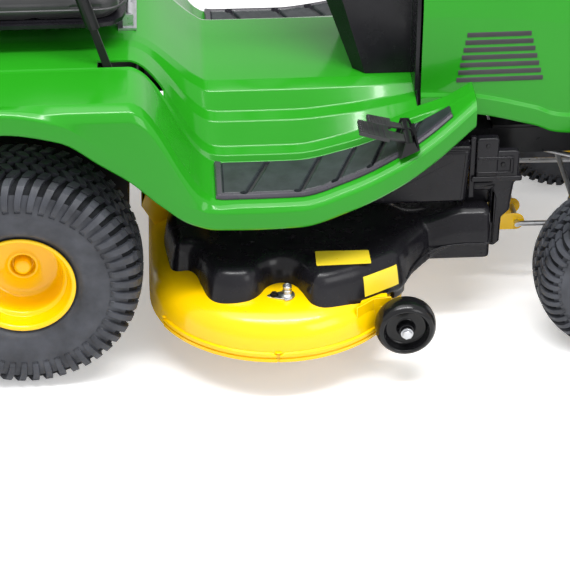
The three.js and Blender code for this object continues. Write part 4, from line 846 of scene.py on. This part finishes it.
def belt_guard(side):
    """The hood over the belt ahead of the cover: a crest, a sloping shoulder, and a lip over a flange."""
    crest = smooth_curve([(780, 258), (815, 261), (845, 266), (878, 277), (904, 286), (930, 289), (990, 289)])
    lower = smooth_curve([(780, 176), (845, 184), (878, 205), (904, 216), (930, 217.5), (990, 216)])
    low = 174
    rows = []
    for x in [*range(780, 975, 9), 975, 980, 983.5, 985]:
        end = 1 - math.sqrt(max(0.0, 1 - max(0.0, (x - 973) / 12) ** 2))
        top, edge, back = crest(x) - 10 * end, lower(x), 6 * end
        section = [(150, low + 40), (150, top - 14), (226, top - 3), (258, top + 0.5), (272 - back, top - 8),
                   (284 - back, (top + edge) / 2 - 8), (288.6 - back, edge + 3), (289 - back, edge - 1),
                   (280 - back, edge - 5), (280 - back, low)]
        rows.append([(x, side * y, z) for y, z in section])
    return flattened(rows), capped(len(rows), len(rows[0]))


def cover():
    """The cover and its belt guards in one skin. Returns its outline, the ways inward and the levels."""
    right = spline(COVER, 7)
    p = np.array([(x, y) for x, y in right] + [(x, -y) for x, y in right[::-1]])
    n = len(p)
    tangent = np.roll(p, -1, 0) - np.roll(p, 1, 0)
    tangent /= np.linalg.norm(tangent, axis=1)[:, None]
    inward = np.stack([-tangent[:, 1], tangent[:, 0]], 1)
    area = float(np.sum(p[:, 0] * np.roll(p[:, 1], -1) - np.roll(p[:, 0], -1) * p[:, 1]))
    if area < 0:
        inward = -inward
    a, b = p, np.roll(p, -1, 0)

    def clearance(q):
        d = b - a
        t = np.clip(np.sum((q - a) * d, 1) / np.sum(d * d, 1), 0, 1)
        return float(np.min(np.linalg.norm(a + d * t[:, None] - q, axis=1)))

    reach = np.zeros(n)
    for i in range(n):
        low, high = 0.0, COVER_ROLL
        if clearance(p[i] + inward[i] * high) >= 0.97 * high:
            low = high
        else:
            for _ in range(12):
                mid = (low + high) / 2
                if clearance(p[i] + inward[i] * mid) >= 0.97 * mid:
                    low = mid
                else:
                    high = mid
        reach[i] = low
    for _ in range(12):
        reach = np.minimum(reach, (np.roll(reach, 1) + reach + np.roll(reach, -1)) / 3)
    levels = [(WALL_LOW, 0.0), (188, 0.6), (205, 3.2), (222, 6.0), (236, 9.0), (246, 12.6), (253.5, 17),
              (258.6, 21.8), (262, 27), (264.2, 32.6), (265.0, 38)]
    verts = []
    for z, inset in levels:
        way = np.minimum(inset, reach * inset / COVER_ROLL) if inset > 12 else np.minimum(inset, reach)
        verts += [(x, y, z) for x, y in p + inward * way[:, None]]
    legs = []
    for s in (1, -1):
        near = sorted((float(x), float(y)) for x, y in p if 762 < x < 797 and s * y > 370)
        band = [(x - 2, y - s * 4) for x, y in near] + [(x - 8, y - s * 13) for x, y in near[::-1]]
        legs.append(extruded(band if s < 0 else band[::-1], 159, 196, "XY"))
    solids = joined((verts, capped(len(levels), n)), belt_guard(1), belt_guard(-1), *legs)
    obj = make("deck_cover_skin", *solids, "deck", PLASTIC, "black_plastic", "deck_cover", sharp=180)
    blow_moulded(obj, 3.2, 8)
    return p, inward, levels


cover_plan = cover()


def cover_details():
    """Raised frames on the cover's top, and the bead along its lower lip."""
    ribs = []
    for s in (1, -1):
        # shallow raised frames on top, by the footrest's edge
        for x0, x1, y0, y1 in ((452, 476, -340, -268), (540, 562, -330, -262)):
            w = 2.2
            for a, b, c, d in ((x0, x0 + w, y0, y1), (x0, x1, y0, y0 + w), (x1 - w, x1, y0, y0 + 16)):
                lo, hi = (c, d) if s < 0 else (-d, -c)
                ribs.append(block(a, b, lo, hi, TOP - 2, TOP - 0.1))
        # the bead along the lower lip, from the corner to the front of the belt guard
        bead = spline([(798, 373, 190), (813, 344, 198), (838, 312, 204), (864, 295, 209),
                       (892, 289.5, 214), (930, 289.5, 217), (972, 288.5, 216.5), (981, 286, 221),
                       (984, 281, 240), (984.5, 277, 262)], 5)
        ribs.append(tube([(x, s * y, z) for x, y, z in bead], 2.3, 10))
    obj = make("deck_cover_ribs", *joined(*ribs), "deck", PLASTIC, "black_plastic", sharp=30)
    bevelled(obj, 0.9, 2)


cover_details()


def stickers():
    """Two blank film labels: one on the cover's top, one wrapped on its side wall."""
    outline = corners([(604, -374), (715, -376), (716, -426), (603, -429)], 3)
    make("blank_label_top", *extruded(outline, TOP - 0.9, TOP - 0.25, "XY"), "deck", LABEL, "yellow_paint",
         sharp=30)
    p, inward, levels = cover_plan
    zs = [z for z, _ in levels]
    ins = [i for _, i in levels]
    chosen = [i for i in range(len(p)) if 702 <= p[i][0] <= 781 and p[i][1] < -400]
    chosen = sorted(chosen, key=lambda i: p[i][0])
    rows = []
    for z in np.linspace(196, 240, 10):
        inset = float(np.interp(z, zs, ins))
        rows.append([(*(p[i] + inward[i] * (inset - 0.7)), z) for i in chosen])
    front = flattened(rows)
    back = [(x, y + 0.5, z) for x, y, z in front]
    make("blank_label_side", *slab(front, back, len(rows), len(chosen)), "deck", LABEL, "yellow_paint",
         sharp=30)


stickers()


def wash_port():
    """A plate with a rounded tail, a hose nozzle on it and the bolt that holds it."""
    x, y, z = 542, -444, DECK_TOP - 0.9
    plate = []
    for k in range(64):
        a = 2 * math.pi * k / 64
        length, taper = (34, 0.72 + 0.28 * math.cos(a)) if math.cos(a) < 0 else (24, 1)
        plate.append((x - 8 + length * math.cos(a), y + 20 * math.sin(a) * taper))
    nozzle = [(0.01, 2), (15, 2), (15, 5), (11, 6.5), (9.6, 8), (9.0, 15), (7.8, 16), (7.8, 18), (9.0, 19),
              (9.4, 20), (9.4, 25), (8.8, 26), (6.0, 26), (5.8, 20), (0.01, 20)]
    parts = [extruded(plate, z, z + 2.4, "XY"), lathe(nozzle, (x, y, z), "Z", 40)]
    obj = make("wash_nozzle", *joined(*parts), "deck", STEEL, "zinc_steel", "wash_port", sharp=35)
    bevelled(obj, 0.4, 2)
    bolt = [lathe(rectangle(0.01, 9, 2, 4), (x - 27, y, z), "Z", 24),
            extruded([(x - 27 + u, y + v) for u, v in hexagon(6.5)], z + 3, z + 9, "XY")]
    make("wash_bolt", *joined(*bolt), "deck", BLACK_PAINT, "black_paint", sharp=30)


wash_port()


# ---------------------------------------------------------------- side shields
def domed(outline, near, far, radius, side):
    """A slab of an XZ outline from near out to far on one side of the machine, its outer edge rolled over."""
    pts = np.array(outline, float)
    forward, backward = np.roll(pts, -1, 0) - pts, pts - np.roll(pts, 1, 0)
    forward /= np.linalg.norm(forward, axis=1)[:, None]
    backward /= np.linalg.norm(backward, axis=1)[:, None]
    turn = 1 if np.sum(pts[:, 0] * np.roll(pts[:, 1], -1) - np.roll(pts[:, 0], -1) * pts[:, 1]) > 0 else -1
    inward = np.stack([-(forward + backward)[:, 1], (forward + backward)[:, 0]], 1) * turn
    inward /= np.linalg.norm(inward, axis=1)[:, None]
    levels = [(near, 0.0), (far - radius - 1.5, 0.0), (far - radius, 0.0)]
    for k in range(1, 5):
        a = math.pi / 8 * k
        levels.append((far - radius + radius * math.sin(a), radius * (1 - math.cos(a))))
    levels.append((far, radius + min(1.5, 0.3 * radius)))
    verts = [(x, side * y, z) for y, inset in levels for x, z in pts + inward * inset]
    return verts, capped(len(levels), len(pts))


def side_shield(word, side):
    """A tall smooth wall behind, and in front of it a stepped tower with a framed recess and a skirt."""
    def form(points, radii, near, far, edge):
        radii = radii if isinstance(radii, list) else [radii] * len(points)
        radii = [max(r, edge + min(1.5, 0.3 * edge) + (1.2 if edge > 3 else 0.2)) for r in radii]
        return domed(corners(points, radii, 5), near, far, edge, side)
    parts = [
        form([(724, 300), (932, 300), (939, 429), (724, 429)], [6, 13, 13, 6], 238, 258, 11),
        form(rectangle(740, 938, 424, 436), 4, 232, 257, 5),
        # tower: upper block, wide block and the ledge under its frame
        form(rectangle(951, 998, 358, 449), [4, 4, 8, 5], 232, 249, 4),
        form(rectangle(951, 1043, 350, 417), [4, 5, 9, 4], 232, 247, 4),
        form([(942, 345), (1050, 345), (1051, 357), (942, 357)], 5, 200, 250, 3),
        form(rectangle(938, 951, 302, 449), 3, 232, 243, 3),
        # skirt
        form([(986, 181), (1001, 179), (1012, 190), (1013, 250), (1030, 268), (1032, 300), (1036, 334),
              (1049, 350), (986, 350)], [5, 8, 8, 10, 10, 10, 12, 3, 3], 222, 240, 5),
        form([(990, 186), (998, 184), (1000, 300), (990, 330)], [4, 4, 10, 4], 236, 246, 3),
        form([(946, 318), (986, 318), (998, 326), (998, 340), (946, 340)], [4, 8, 8, 4, 4], 196, 241, 7),
        # closing panel at the back of the recess
        form(rectangle(934, 990, 276, 429), 3, 212, 220, 3),
    ]
    # raised frame round the shallow recess
    for points in (rectangle(954, 1031, 398, 405), rectangle(1023, 1031, 366, 405),
                    rectangle(954, 1031, 363, 369)):
        parts.append(form(points, 2.5, 244, 250.5, 2.5))
    make("side_shield_skin_" + word, *joined(*parts), "chassis", PLASTIC, "black_plastic",
         "side_shield_" + word, sharp=40)
    head = [(0.01, 247), (4.6, 247), (4.6, 250.2), (3.2, 251.4), (0.01, 251.6)]
    screws = [lathe(head, (x, 0, z), "Y", 20, side) for x, z in ((974, 432), (1008, 385))]
    make("side_shield_screws_" + word, *joined(*screws), "chassis", BLACK_PAINT, "black_paint", sharp=35)


side_shield("right", -1)
side_shield("left", 1)


# ---------------------------------------------------------------- hood
HOOD_REAR, HOOD_NOSE, HOOD_TOP = 832, 1410, 905
hood_drop = smooth_curve([(832, 0), (901, 2), (1000, 8), (1121, 23), (1237, 47), (1329, 73), (1385, 98),
                          (1410, 116)])
hood_side = smooth_curve([(832, 222), (1121, 218), (1329, 208), (1410, 196)])
hood_low = smooth_curve([(832, 500), (940, 494), (1000, 482), (1043, 470), (1078, 460), (1117, 444),
                         (1150, 440), (1410, 438.4)])


def hood_section(x):
    top, side, low = HOOD_TOP - hood_drop(x), hood_side(x), hood_low(x)
    pts = [(side - 1, low), (side, low + 4), (side, low + 38), (side - 5.5, low + 45), (side - 6, low + 52),
           (side - 7, top - 190), (side - 14, top - 96), (side - 34, top - 42), (side - 66, top - 14),
           (side - 112, top - 2), (47, top - 2.5), (35, top), (0, top + 0.4)]
    radii = [1, 3, 5, 4, 5, 60, 50, 36, 40, 30, 5, 6, 4]
    return rounded(pts, radii, 5)


def hood():
    """A pressed skin, with seven louvres on each side."""
    stations = [*np.arange(HOOD_REAR, 1300, 12.0), *np.arange(1300, HOOD_NOSE + 0.1, 5.5)]
    rows = [both_halves(x, hood_section(x)) for x in stations]
    obj = make("hood_skin", flattened(rows), grid_faces(len(rows), len(rows[0])), "bonnet", GREEN,
               "green_paint", "hood", sharp=34)
    sheet_metal(obj, 34)
    vents = []
    for s in (1, -1):
        def skin(x, z):
            section = hood_section(x)
            for (y0, z0), (y1, z1) in zip(section, section[1:]):
                if z0 <= z <= z1:
                    return y0 + (y1 - y0) * (z - z0) / max(z1 - z0, 1e-6)
            return hood_side(x) - 8
        for k in range(7):
            z0 = 566 + k * 17
            verts = []
            for x in np.linspace(905 + k * 3, 1085 - k * 5, 14):
                for dz, out in ((0, -1.5), (0, 1.2), (2.5, 2.0), (9.5, 0.6), (12, -1.5)):
                    verts.append((x, s * (skin(x, z0 + dz) + out), z0 + dz))
            vents.append((verts, capped(14, 5)))
    make("hood_vents", *joined(*vents), "bonnet", GRAINED, "black_plastic", sharp=30)


hood()


def headlights():
    """A clear lens with ribs moulded across it."""
    for word, side in (("left", 1), ("right", -1)):
        y0, z0, half_y, half_z = side * 108, 701, 51.4, 36.4
        outline = corners(rectangle(y0 - half_y, y0 + half_y, z0 - half_z, z0 + half_z), 10)
        rows = []
        for x, inset in ((1418, 0.5), (1430, 0.5), (1433, 2), (1434.6, 6)):
            wide, high = 1 - inset / half_y, 1 - inset / half_z
            rows += [(x, y0 + (y - y0) * wide, z0 + (z - z0) * high) for y, z in outline]
        ribs = [tube([(1434.4, y0 + dy, z0 - 27), (1434.4, y0 + dy, z0 + 27)], 1.2, 8)
                for dy in range(-36, 37, 12)]
        make("headlight_lens_" + word, *joined((rows, capped(4, len(outline))), *ribs), "bonnet", LENS,
             "lamp_lens", "headlight_" + word, sharp=35)


headlights()


# ---------------------------------------------------------------- steering wheel
def turned_on(axis_from, axis_to, verts):
    """Moves points from the frame of a shaft (z along it, origin at axis_to) into the machine."""
    way = Vector(axis_to) - Vector(axis_from)
    spin = Vector((0, 0, 1)).rotation_difference(way)
    return [tuple(spin @ Vector(v) + Vector(axis_to)) for v in verts]


def steering_wheel():
    """A rim with finger grips, three dished spokes and a hub cap."""
    radius, grip = 159, 12.8
    verts, around = [], 120
    for k in range(around):
        a = 2 * math.pi * k / around
        for j in range(16):
            b = 2 * math.pi * j / 16
            bump = 0.9 if (k % 5 == 0 and math.cos(b) < 0.2 and math.sin(b) < 0) else 0
            r = radius + (grip - bump) * math.cos(b)
            verts.append((r * math.cos(a), r * math.sin(a), (grip - bump) * math.sin(b)))
    parts = [(verts, grid_faces(around, 16, close_rows=True, close_cols=True))]
    for turn in (0, 120, 240):
        c, s = math.cos(math.radians(turn)), math.sin(math.radians(turn))
        rows = []
        for r, half, low, high in ((20, 26, -12, 0), (40, 21, -11, -0.5), (80, 15, -10, -1),
                                   (120, 14, -9, -1), (150, 18, -7, 3), (160, 21, -5, 5)):
            ring = [(half - 3, low), (half, low + 2.5), (half, high - 2.5), (half - 3, high),
                    (3, high - 2.2), (-3, high - 2.2), (3 - half, high), (-half, high - 2.5),
                    (-half, low + 2.5), (3 - half, low)]
            rows.append([(r * c - w * s, r * s + w * c, h) for w, h in ring])
        parts.append((flattened(rows), capped(6, 10)))
    hub = [(9.9, -33), (26, -33.5), (30, -30), (34, -8), (33.6, 2), (31, 5), (28, 6.4), (26, 5.8),
           (24, 5.8), (20, 7), (10, 7.8), (0.01, 8), (0.01, -5), (9.9, -5), (9.9, -33)]
    parts.append(lathe(hub, (0, 0, 0), "Z", 64, 1))
    verts, faces = joined(*parts)
    make("steering_wheel_rim", turned_on((850, 0, 330), (620, 0, 965), verts), faces, "steering", GRAINED,
         "black_plastic", "steering_wheel", sharp=40)


steering_wheel()


# ---------------------------------------------------------------- seat
CLOTH_FRAMES = 20


def plump(obj, voxel, cap, pressure):
    """Blows a padded shape up as cloth, and moves no point further than cap millimetres."""
    melt = obj.modifiers.new("melt", "REMESH")
    melt.mode, melt.voxel_size = "VOXEL", voxel / 1000
    applied(obj)
    start = np.array([v.co for v in obj.data.vertices])
    cloth = obj.modifiers.new("cloth", "CLOTH")
    cloth.settings.quality = 5
    cloth.settings.use_pressure = True
    cloth.settings.uniform_pressure_force = pressure
    cloth.settings.effector_weights.gravity = 0
    scene = bpy.context.scene
    for number in range(1, CLOTH_FRAMES + 1):
        scene.frame_set(number)
    deps = bpy.context.evaluated_depsgraph_get()
    blown = np.array([v.co for v in obj.evaluated_get(deps).data.vertices])
    scene.frame_set(1)
    obj.modifiers.clear()
    move = blown - start
    length = np.maximum(np.linalg.norm(move, axis=1), 1e-9)
    start = start + move * np.minimum(1, cap / 1000 / length)[:, None]
    obj.data.vertices.foreach_set("co", start.ravel())


def pressed(obj, depth_at):
    """Pushes each point in along its normal by depth_at(x, y, z), in design millimetres."""
    mesh = obj.data
    mesh.update()
    normals = [Vector(v.normal) for v in mesh.vertices]
    for vert, normal in zip(mesh.vertices, normals):
        x, y, z = vert.co.x * 1000 + ORIGIN_X, vert.co.y * 1000, vert.co.z * 1000
        vert.co -= normal * depth_at(x, y, z) / 1000
    mesh.update()


def groove(distance, width, depth):
    return depth * math.exp(-(distance / width) ** 2)


def cushion_form(outline, levels):
    """An outline drawn in by each level's inset, at that level's height."""
    pts = np.array(outline, float)
    centre = pts.mean(0)
    half = np.abs(pts - centre).max(0)
    rows = []
    for h, inset in levels:
        rows += [(*(centre + (p - centre) * (1 - inset / half)), h) for p in pts]
    return rows, capped(len(levels), len(pts))


def seat_cushions():
    """The seat's two cushions with their sewn channels, and the welts in their seams."""
    rear, front, half = -126, 232, 224
    outline = corners(rectangle(rear, front, -half, half), [56, 66, 66, 56], 6)
    verts, faces = cushion_form(outline, [(728, 8), (740, 2), (760, 2), (778, 8), (786, 20)])
    pad = make("seat_cushion_pad", verts, faces, "seat", VINYL, "seat_vinyl", "seat_cushion", sharp=180)
    plump(pad, 6, 14, 3.5)

    def channels(x, y, z):
        inset = min(front - x, x - rear, half - abs(y))
        side = groove(z - 757, 3.2, 2.6) if z < 775 and inset < 14 else 0
        top = 0
        if z > 762:
            border = groove(inset - 52, 4.5, 6) if x < 190 else groove(abs(y) - 172, 4.5, 6)
            lanes = sum(groove(y - lane, 4.5, 5) for lane in (-86, 0, 86)) if inset > 52 else 0
            top = max(border, lanes) + 9 * math.exp(-((x - 20) / 130) ** 2 - (y / 150) ** 2)
        return side + top
    subdivide(pad)
    pressed(pad, channels)
    seam = corners(rectangle(rear - 2, front + 2.5, -half - 2.5, half + 2.5), [56, 66, 66, 56], 8)
    welt("seat_cushion_welt", [(x, y, 757) for x, y in seam])

    foot, head, wide = 4, 292, 208  # the backrest's lower and upper edge along its slope, and half its width
    outline = corners(rectangle(foot, head, -wide, wide), [60, 74, 74, 60], 6)
    verts, faces = cushion_form(outline, [(-24, 26), (-14, 6), (4, 2), (20, 4), (30, 14)])
    lean = Matrix.Translation((-168, 0, 770)) @ Matrix.Rotation(math.radians(-102), 4, "Y")
    place = [tuple(lean @ Vector(v)) for v in verts]
    back = make("seat_back_pad", place, faces, "seat", VINYL, "seat_vinyl", "seat_back", sharp=180)
    plump(back, 6, 14, 3.5)
    inverse = lean.inverted()

    def back_channels(x, y, z):
        p = inverse @ Vector((x, y, z))
        inset = min(head - p.x, p.x - foot, wide - abs(y))
        side = groove(p.z - 6, 3.2, 2.4) if inset < 12 else 0
        face = 0
        if p.z > 10:
            face = groove(inset - 46, 4.5, 6)
            if inset > 46:
                face = max(face, *(groove(y - lane, 4.5, 5) for lane in (-80, 0, 80)))
            face += 6 * math.exp(-((p.x - 120) / 110) ** 2 - (y / 140) ** 2)
        return side + face
    subdivide(back)
    pressed(back, back_channels)
    seam = corners(rectangle(foot - 2, head + 2.5, -wide - 3, wide + 3), [60, 74, 74, 60], 8)
    welt("seat_back_welt", [tuple(lean @ Vector((x, y, 6))) for x, y in seam])


def subdivide(obj):
    obj.modifiers.new("finer", "SUBSURF").levels = 1
    applied(obj)
    for poly in obj.data.polygons:
        poly.use_smooth = True


def welt(name, loop):
    """A round cord sewn into the seam: a closed tube along the loop."""
    pts = [np.array(p, float) for p in loop]
    n, sides, verts = len(pts), 10, []
    for i, p in enumerate(pts):
        verts += circle(p, across(pts[(i + 1) % n] - pts[i - 1], (0.13, 0.02, 0.99)), 2.6, sides)
    make(name, verts, grid_faces(n, sides, close_rows=True, close_cols=True), "seat", VINYL, "seat_vinyl",
         sharp=180)


seat_cushions()


# ---------------------------------------------------------------- pedals
PEDAL_X, PEDAL_Z = 790, 520.34  # the pedals' hinge


def pedal(name, node, body, y0, y1, length, lift):
    """A ribbed pad at the rear, with a toothed edge, on an arm that runs forward and down to its hinge."""
    tilt = math.radians(lift)

    def put(d, n, y):
        """A point this far back along the pedal, this far above its plane."""
        x, z = -d * math.cos(tilt) + n * math.sin(tilt), d * math.sin(tilt) + n * math.cos(tilt)
        return PEDAL_X + x, y, PEDAL_Z + z

    def flat(points, low, high):
        """An outline of (distance back, y) between two heights above the pedal's plane."""
        verts = [put(d, low, y) for d, y in points] + [put(d, high, y) for d, y in points]
        return verts, prism_faces(len(points))
    inner, outer_y = (y1, y0) if y0 < 0 else (y0, y1)
    start = length * 0.42
    teeth, count = [], 6
    for k in range(count):
        y = inner + (outer_y - inner) * (0.06 + 0.88 * k / (count - 1))
        step = (outer_y - inner) * 0.88 / (count - 1) * 0.28
        teeth += [(length + 5.5, y - step), (length + 5.5, y + step), (length + 1, y + step * 1.1),
                  (length + 1, y + step * 2.4)]
    teeth = teeth[:-1]
    outline = [(start, inner), (start, outer_y), (length - 4, outer_y), *teeth[::-1], (length - 4, inner)]
    parts = [flat(outline, -3.5, 4.5)]
    for k in range(5):
        d = start + 8 + (length - start - 12) * k / 4
        parts.append(flat(rectangle(d, d + 3.4, y0 + 4, y1 - 4), 4, 6.2))
    middle = (y0 + y1) / 2
    wide = (y1 - y0) * 0.26
    parts.append(flat([(4, middle - wide), (start + 8, middle - wide * 1.25),
                       (start + 8, middle + wide * 1.25), (4, middle + wide)], -3, 2))
    obj = make(name + "_pad", *joined(*parts), body, GRAINED, "black_plastic", node, sharp=35)
    bevelled(obj, 1.0, 2)
    applied(obj, 35)
    far = y1 - y0 - 0.2
    knuckle = [(4.9, 0.2), (8.8, 0.2), (8.8, far), (4.9, far), (4.9, 0.2)]
    make(name + "_knuckle", *lathe(knuckle, (PEDAL_X, y0, PEDAL_Z), "Y", 32), body, BLACK_PAINT,
         "black_paint", sharp=40)


pedal("forward_pedal", "forward_pedal", "pedal_forward", -393.8, -339.1, 100, 17)
pedal("reverse_pedal", "reverse_pedal", "pedal_reverse", -332.8, -298.1, 76, 14)
pedal("brake_pedal", "brake_pedal", "pedal_brake", 298.1, 387.8, 92, 17)


# ---------------------------------------------------------------- the CAD pieces that stay
KEPT = [
    (BLACK_PAINT, 1.2, ["frame", "rear_plate", "front_axle", "front_bumper", "lift_shaft", "pedal_base_right",
                        "pedal_base_left"]),
    (PLASTIC, 1.6, ["dash_pedestal", "seat_shell"]),
    (GRAINED, 1.0, ["instrument_panel", "grille", "battery", "ignition_key"]),
    (GLOSS_BLACK, 1.5, ["engine_shroud", "fuel_tank", "fuel_cap"]),
    (CAST, 1.5, ["transaxle_housing", "engine_block", "muffler"]),
    (STEEL, 0.6, ["steering_shaft", "steering_sector", "front_spindle_left", "front_spindle_right", "tie_rod",
                  "drag_link", "crank_pulley", "seat_hinge", "seat_pan", "draft_rod", "blade_left",
                  "blade_right"]),
    (YELLOW, 1.0, ["throttle_lever", "pto_knob"]),
]


def refinish(name, mat, width):
    """A CAD piece keeps its shape, and gets its material, small edge radii and smooth round faces."""
    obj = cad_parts[name]
    mesh = obj.data
    mesh.materials.clear()
    mesh.materials.append(mat)
    for layer in ("custom_normal", "sharp_edge", "sharp_face"):
        if layer in mesh.attributes:
            mesh.attributes.remove(mesh.attributes[layer])
    for poly in mesh.polygons:
        poly.use_smooth = True
    obj.modifiers.new("weld", "WELD").merge_threshold = 0.00002
    flat = obj.modifiers.new("flat", "DECIMATE")
    flat.decimate_type, flat.angle_limit = "DISSOLVE", math.radians(0.4)
    bevelled(obj, width, 2)
    obj.modifiers["edges"].harden_normals = True


for finish_mat, finish_width, finish_nodes in KEPT:
    for finish_node in finish_nodes:
        refinish(finish_node, finish_mat, finish_width)


# ---------------------------------------------------------------- floor, light and camera
def light_path_sum(tree, *rays):
    path = tree.nodes.new("ShaderNodeLightPath")
    total = path.outputs[rays[0]]
    for ray in rays[1:]:
        both = tree.nodes.new("ShaderNodeMath")
        both.operation, both.use_clamp = "ADD", True
        tree.links.new(total, both.inputs[0])
        tree.links.new(path.outputs[ray], both.inputs[1])
        total = both.outputs["Value"]
    return total


def floor_and_backdrop():
    mesh = bpy.data.meshes.new("floor")
    size, level = 14.0, -0.0006  # metres
    mesh.from_pydata([(x, y, level) for x, y in rectangle(-size, size, -size, size)], [], [(0, 1, 2, 3)])
    ground = bpy.data.objects.new("floor", mesh)
    bpy.context.scene.collection.objects.link(ground)
    mat = material("floor_paint", (0.92, 0.92, 0.925), 0.6, mottle=0.01, mottle_scale=1.5)
    tree = mat.node_tree
    glow = tree.nodes.new("ShaderNodeEmission")
    add = tree.nodes.new("ShaderNodeAddShader")
    strength = tree.nodes.new("ShaderNodeMath")
    strength.operation = "MULTIPLY"
    strength.inputs[1].default_value = FLOOR_GLOW
    tree.links.new(light_path_sum(tree, "Is Camera Ray"), strength.inputs[0])
    tree.links.new(strength.outputs["Value"], glow.inputs["Strength"])
    tree.links.new(tree.nodes["Principled BSDF"].outputs["BSDF"], add.inputs[0])
    tree.links.new(glow.outputs["Emission"], add.inputs[1])
    tree.links.new(add.outputs["Shader"], tree.nodes["Material Output"].inputs["Surface"])
    mesh.materials.append(mat)
    world = bpy.data.worlds.new("studio")
    bpy.context.scene.world = world
    world.use_nodes = True
    tree = world.node_tree
    seen, lit = tree.nodes["Background"], tree.nodes.new("ShaderNodeBackground")
    for node, strength in ((seen, 1.0), (lit, WORLD_LIGHT)):
        node.inputs["Color"].default_value = (1, 1, 1, 1)
        node.inputs["Strength"].default_value = strength
    pick = tree.nodes.new("ShaderNodeMixShader")
    tree.links.new(light_path_sum(tree, "Is Camera Ray", "Is Glossy Ray", "Is Transmission Ray"),
                   pick.inputs["Fac"])
    tree.links.new(lit.outputs["Background"], pick.inputs[1])
    tree.links.new(seen.outputs["Background"], pick.inputs[2])
    tree.links.new(pick.outputs["Shader"], tree.nodes["World Output"].inputs["Surface"])


def lamp(name, place, target, size, power):
    data = bpy.data.lights.new(name, "AREA")
    data.shape, data.size, data.size_y, data.energy = "RECTANGLE", size[0], size[1], power
    obj = bpy.data.objects.new(name, data)
    obj.location = place
    obj.rotation_euler = (Vector(target) - Vector(place)).to_track_quat("-Z", "Y").to_euler()
    bpy.context.scene.collection.objects.link(obj)


def camera():
    """The view is from the driver's right, a little behind square and 33.5 degrees above."""
    turn, rise = math.radians(-3.476), math.radians(33.512)
    back = Vector((math.sin(turn) * math.cos(rise), -math.cos(turn) * math.cos(rise), math.sin(rise)))
    data = bpy.data.cameras.new("camera")
    data.lens, data.sensor_width = 129.4, 36
    obj = bpy.data.objects.new("camera", data)
    obj.location = (-0.2275, -3.940, 2.550)  # metres in the row frame
    obj.rotation_euler = (-back).to_track_quat("-Z", "Y").to_euler()
    bpy.context.scene.collection.objects.link(obj)
    bpy.context.scene.camera = obj


FLOOR_GLOW, WORLD_LIGHT = 0.36, 0.52
floor_and_backdrop()
# place, target and size in metres in the row frame, and power in watts
lamp("softbox_above", (-0.3, -0.8, 3.6), (0, 0, 0.4), (3.2, 2.4), 80)
lamp("strip_above", (0.1, -1.15, 3.1), (0.1, -0.1, 0.35), (2.6, 0.3), 70)
lamp("softbox_front", (2.4, -3.2, 2.2), (0.2, 0, 0.3), (1.8, 1.8), 40)
lamp("softbox_rear", (-3.2, 1.2, 2.4), (-0.2, 0, 0.5), (1.6, 1.6), 26)
camera()
bpy.context.scene.view_settings.view_transform = "Standard"
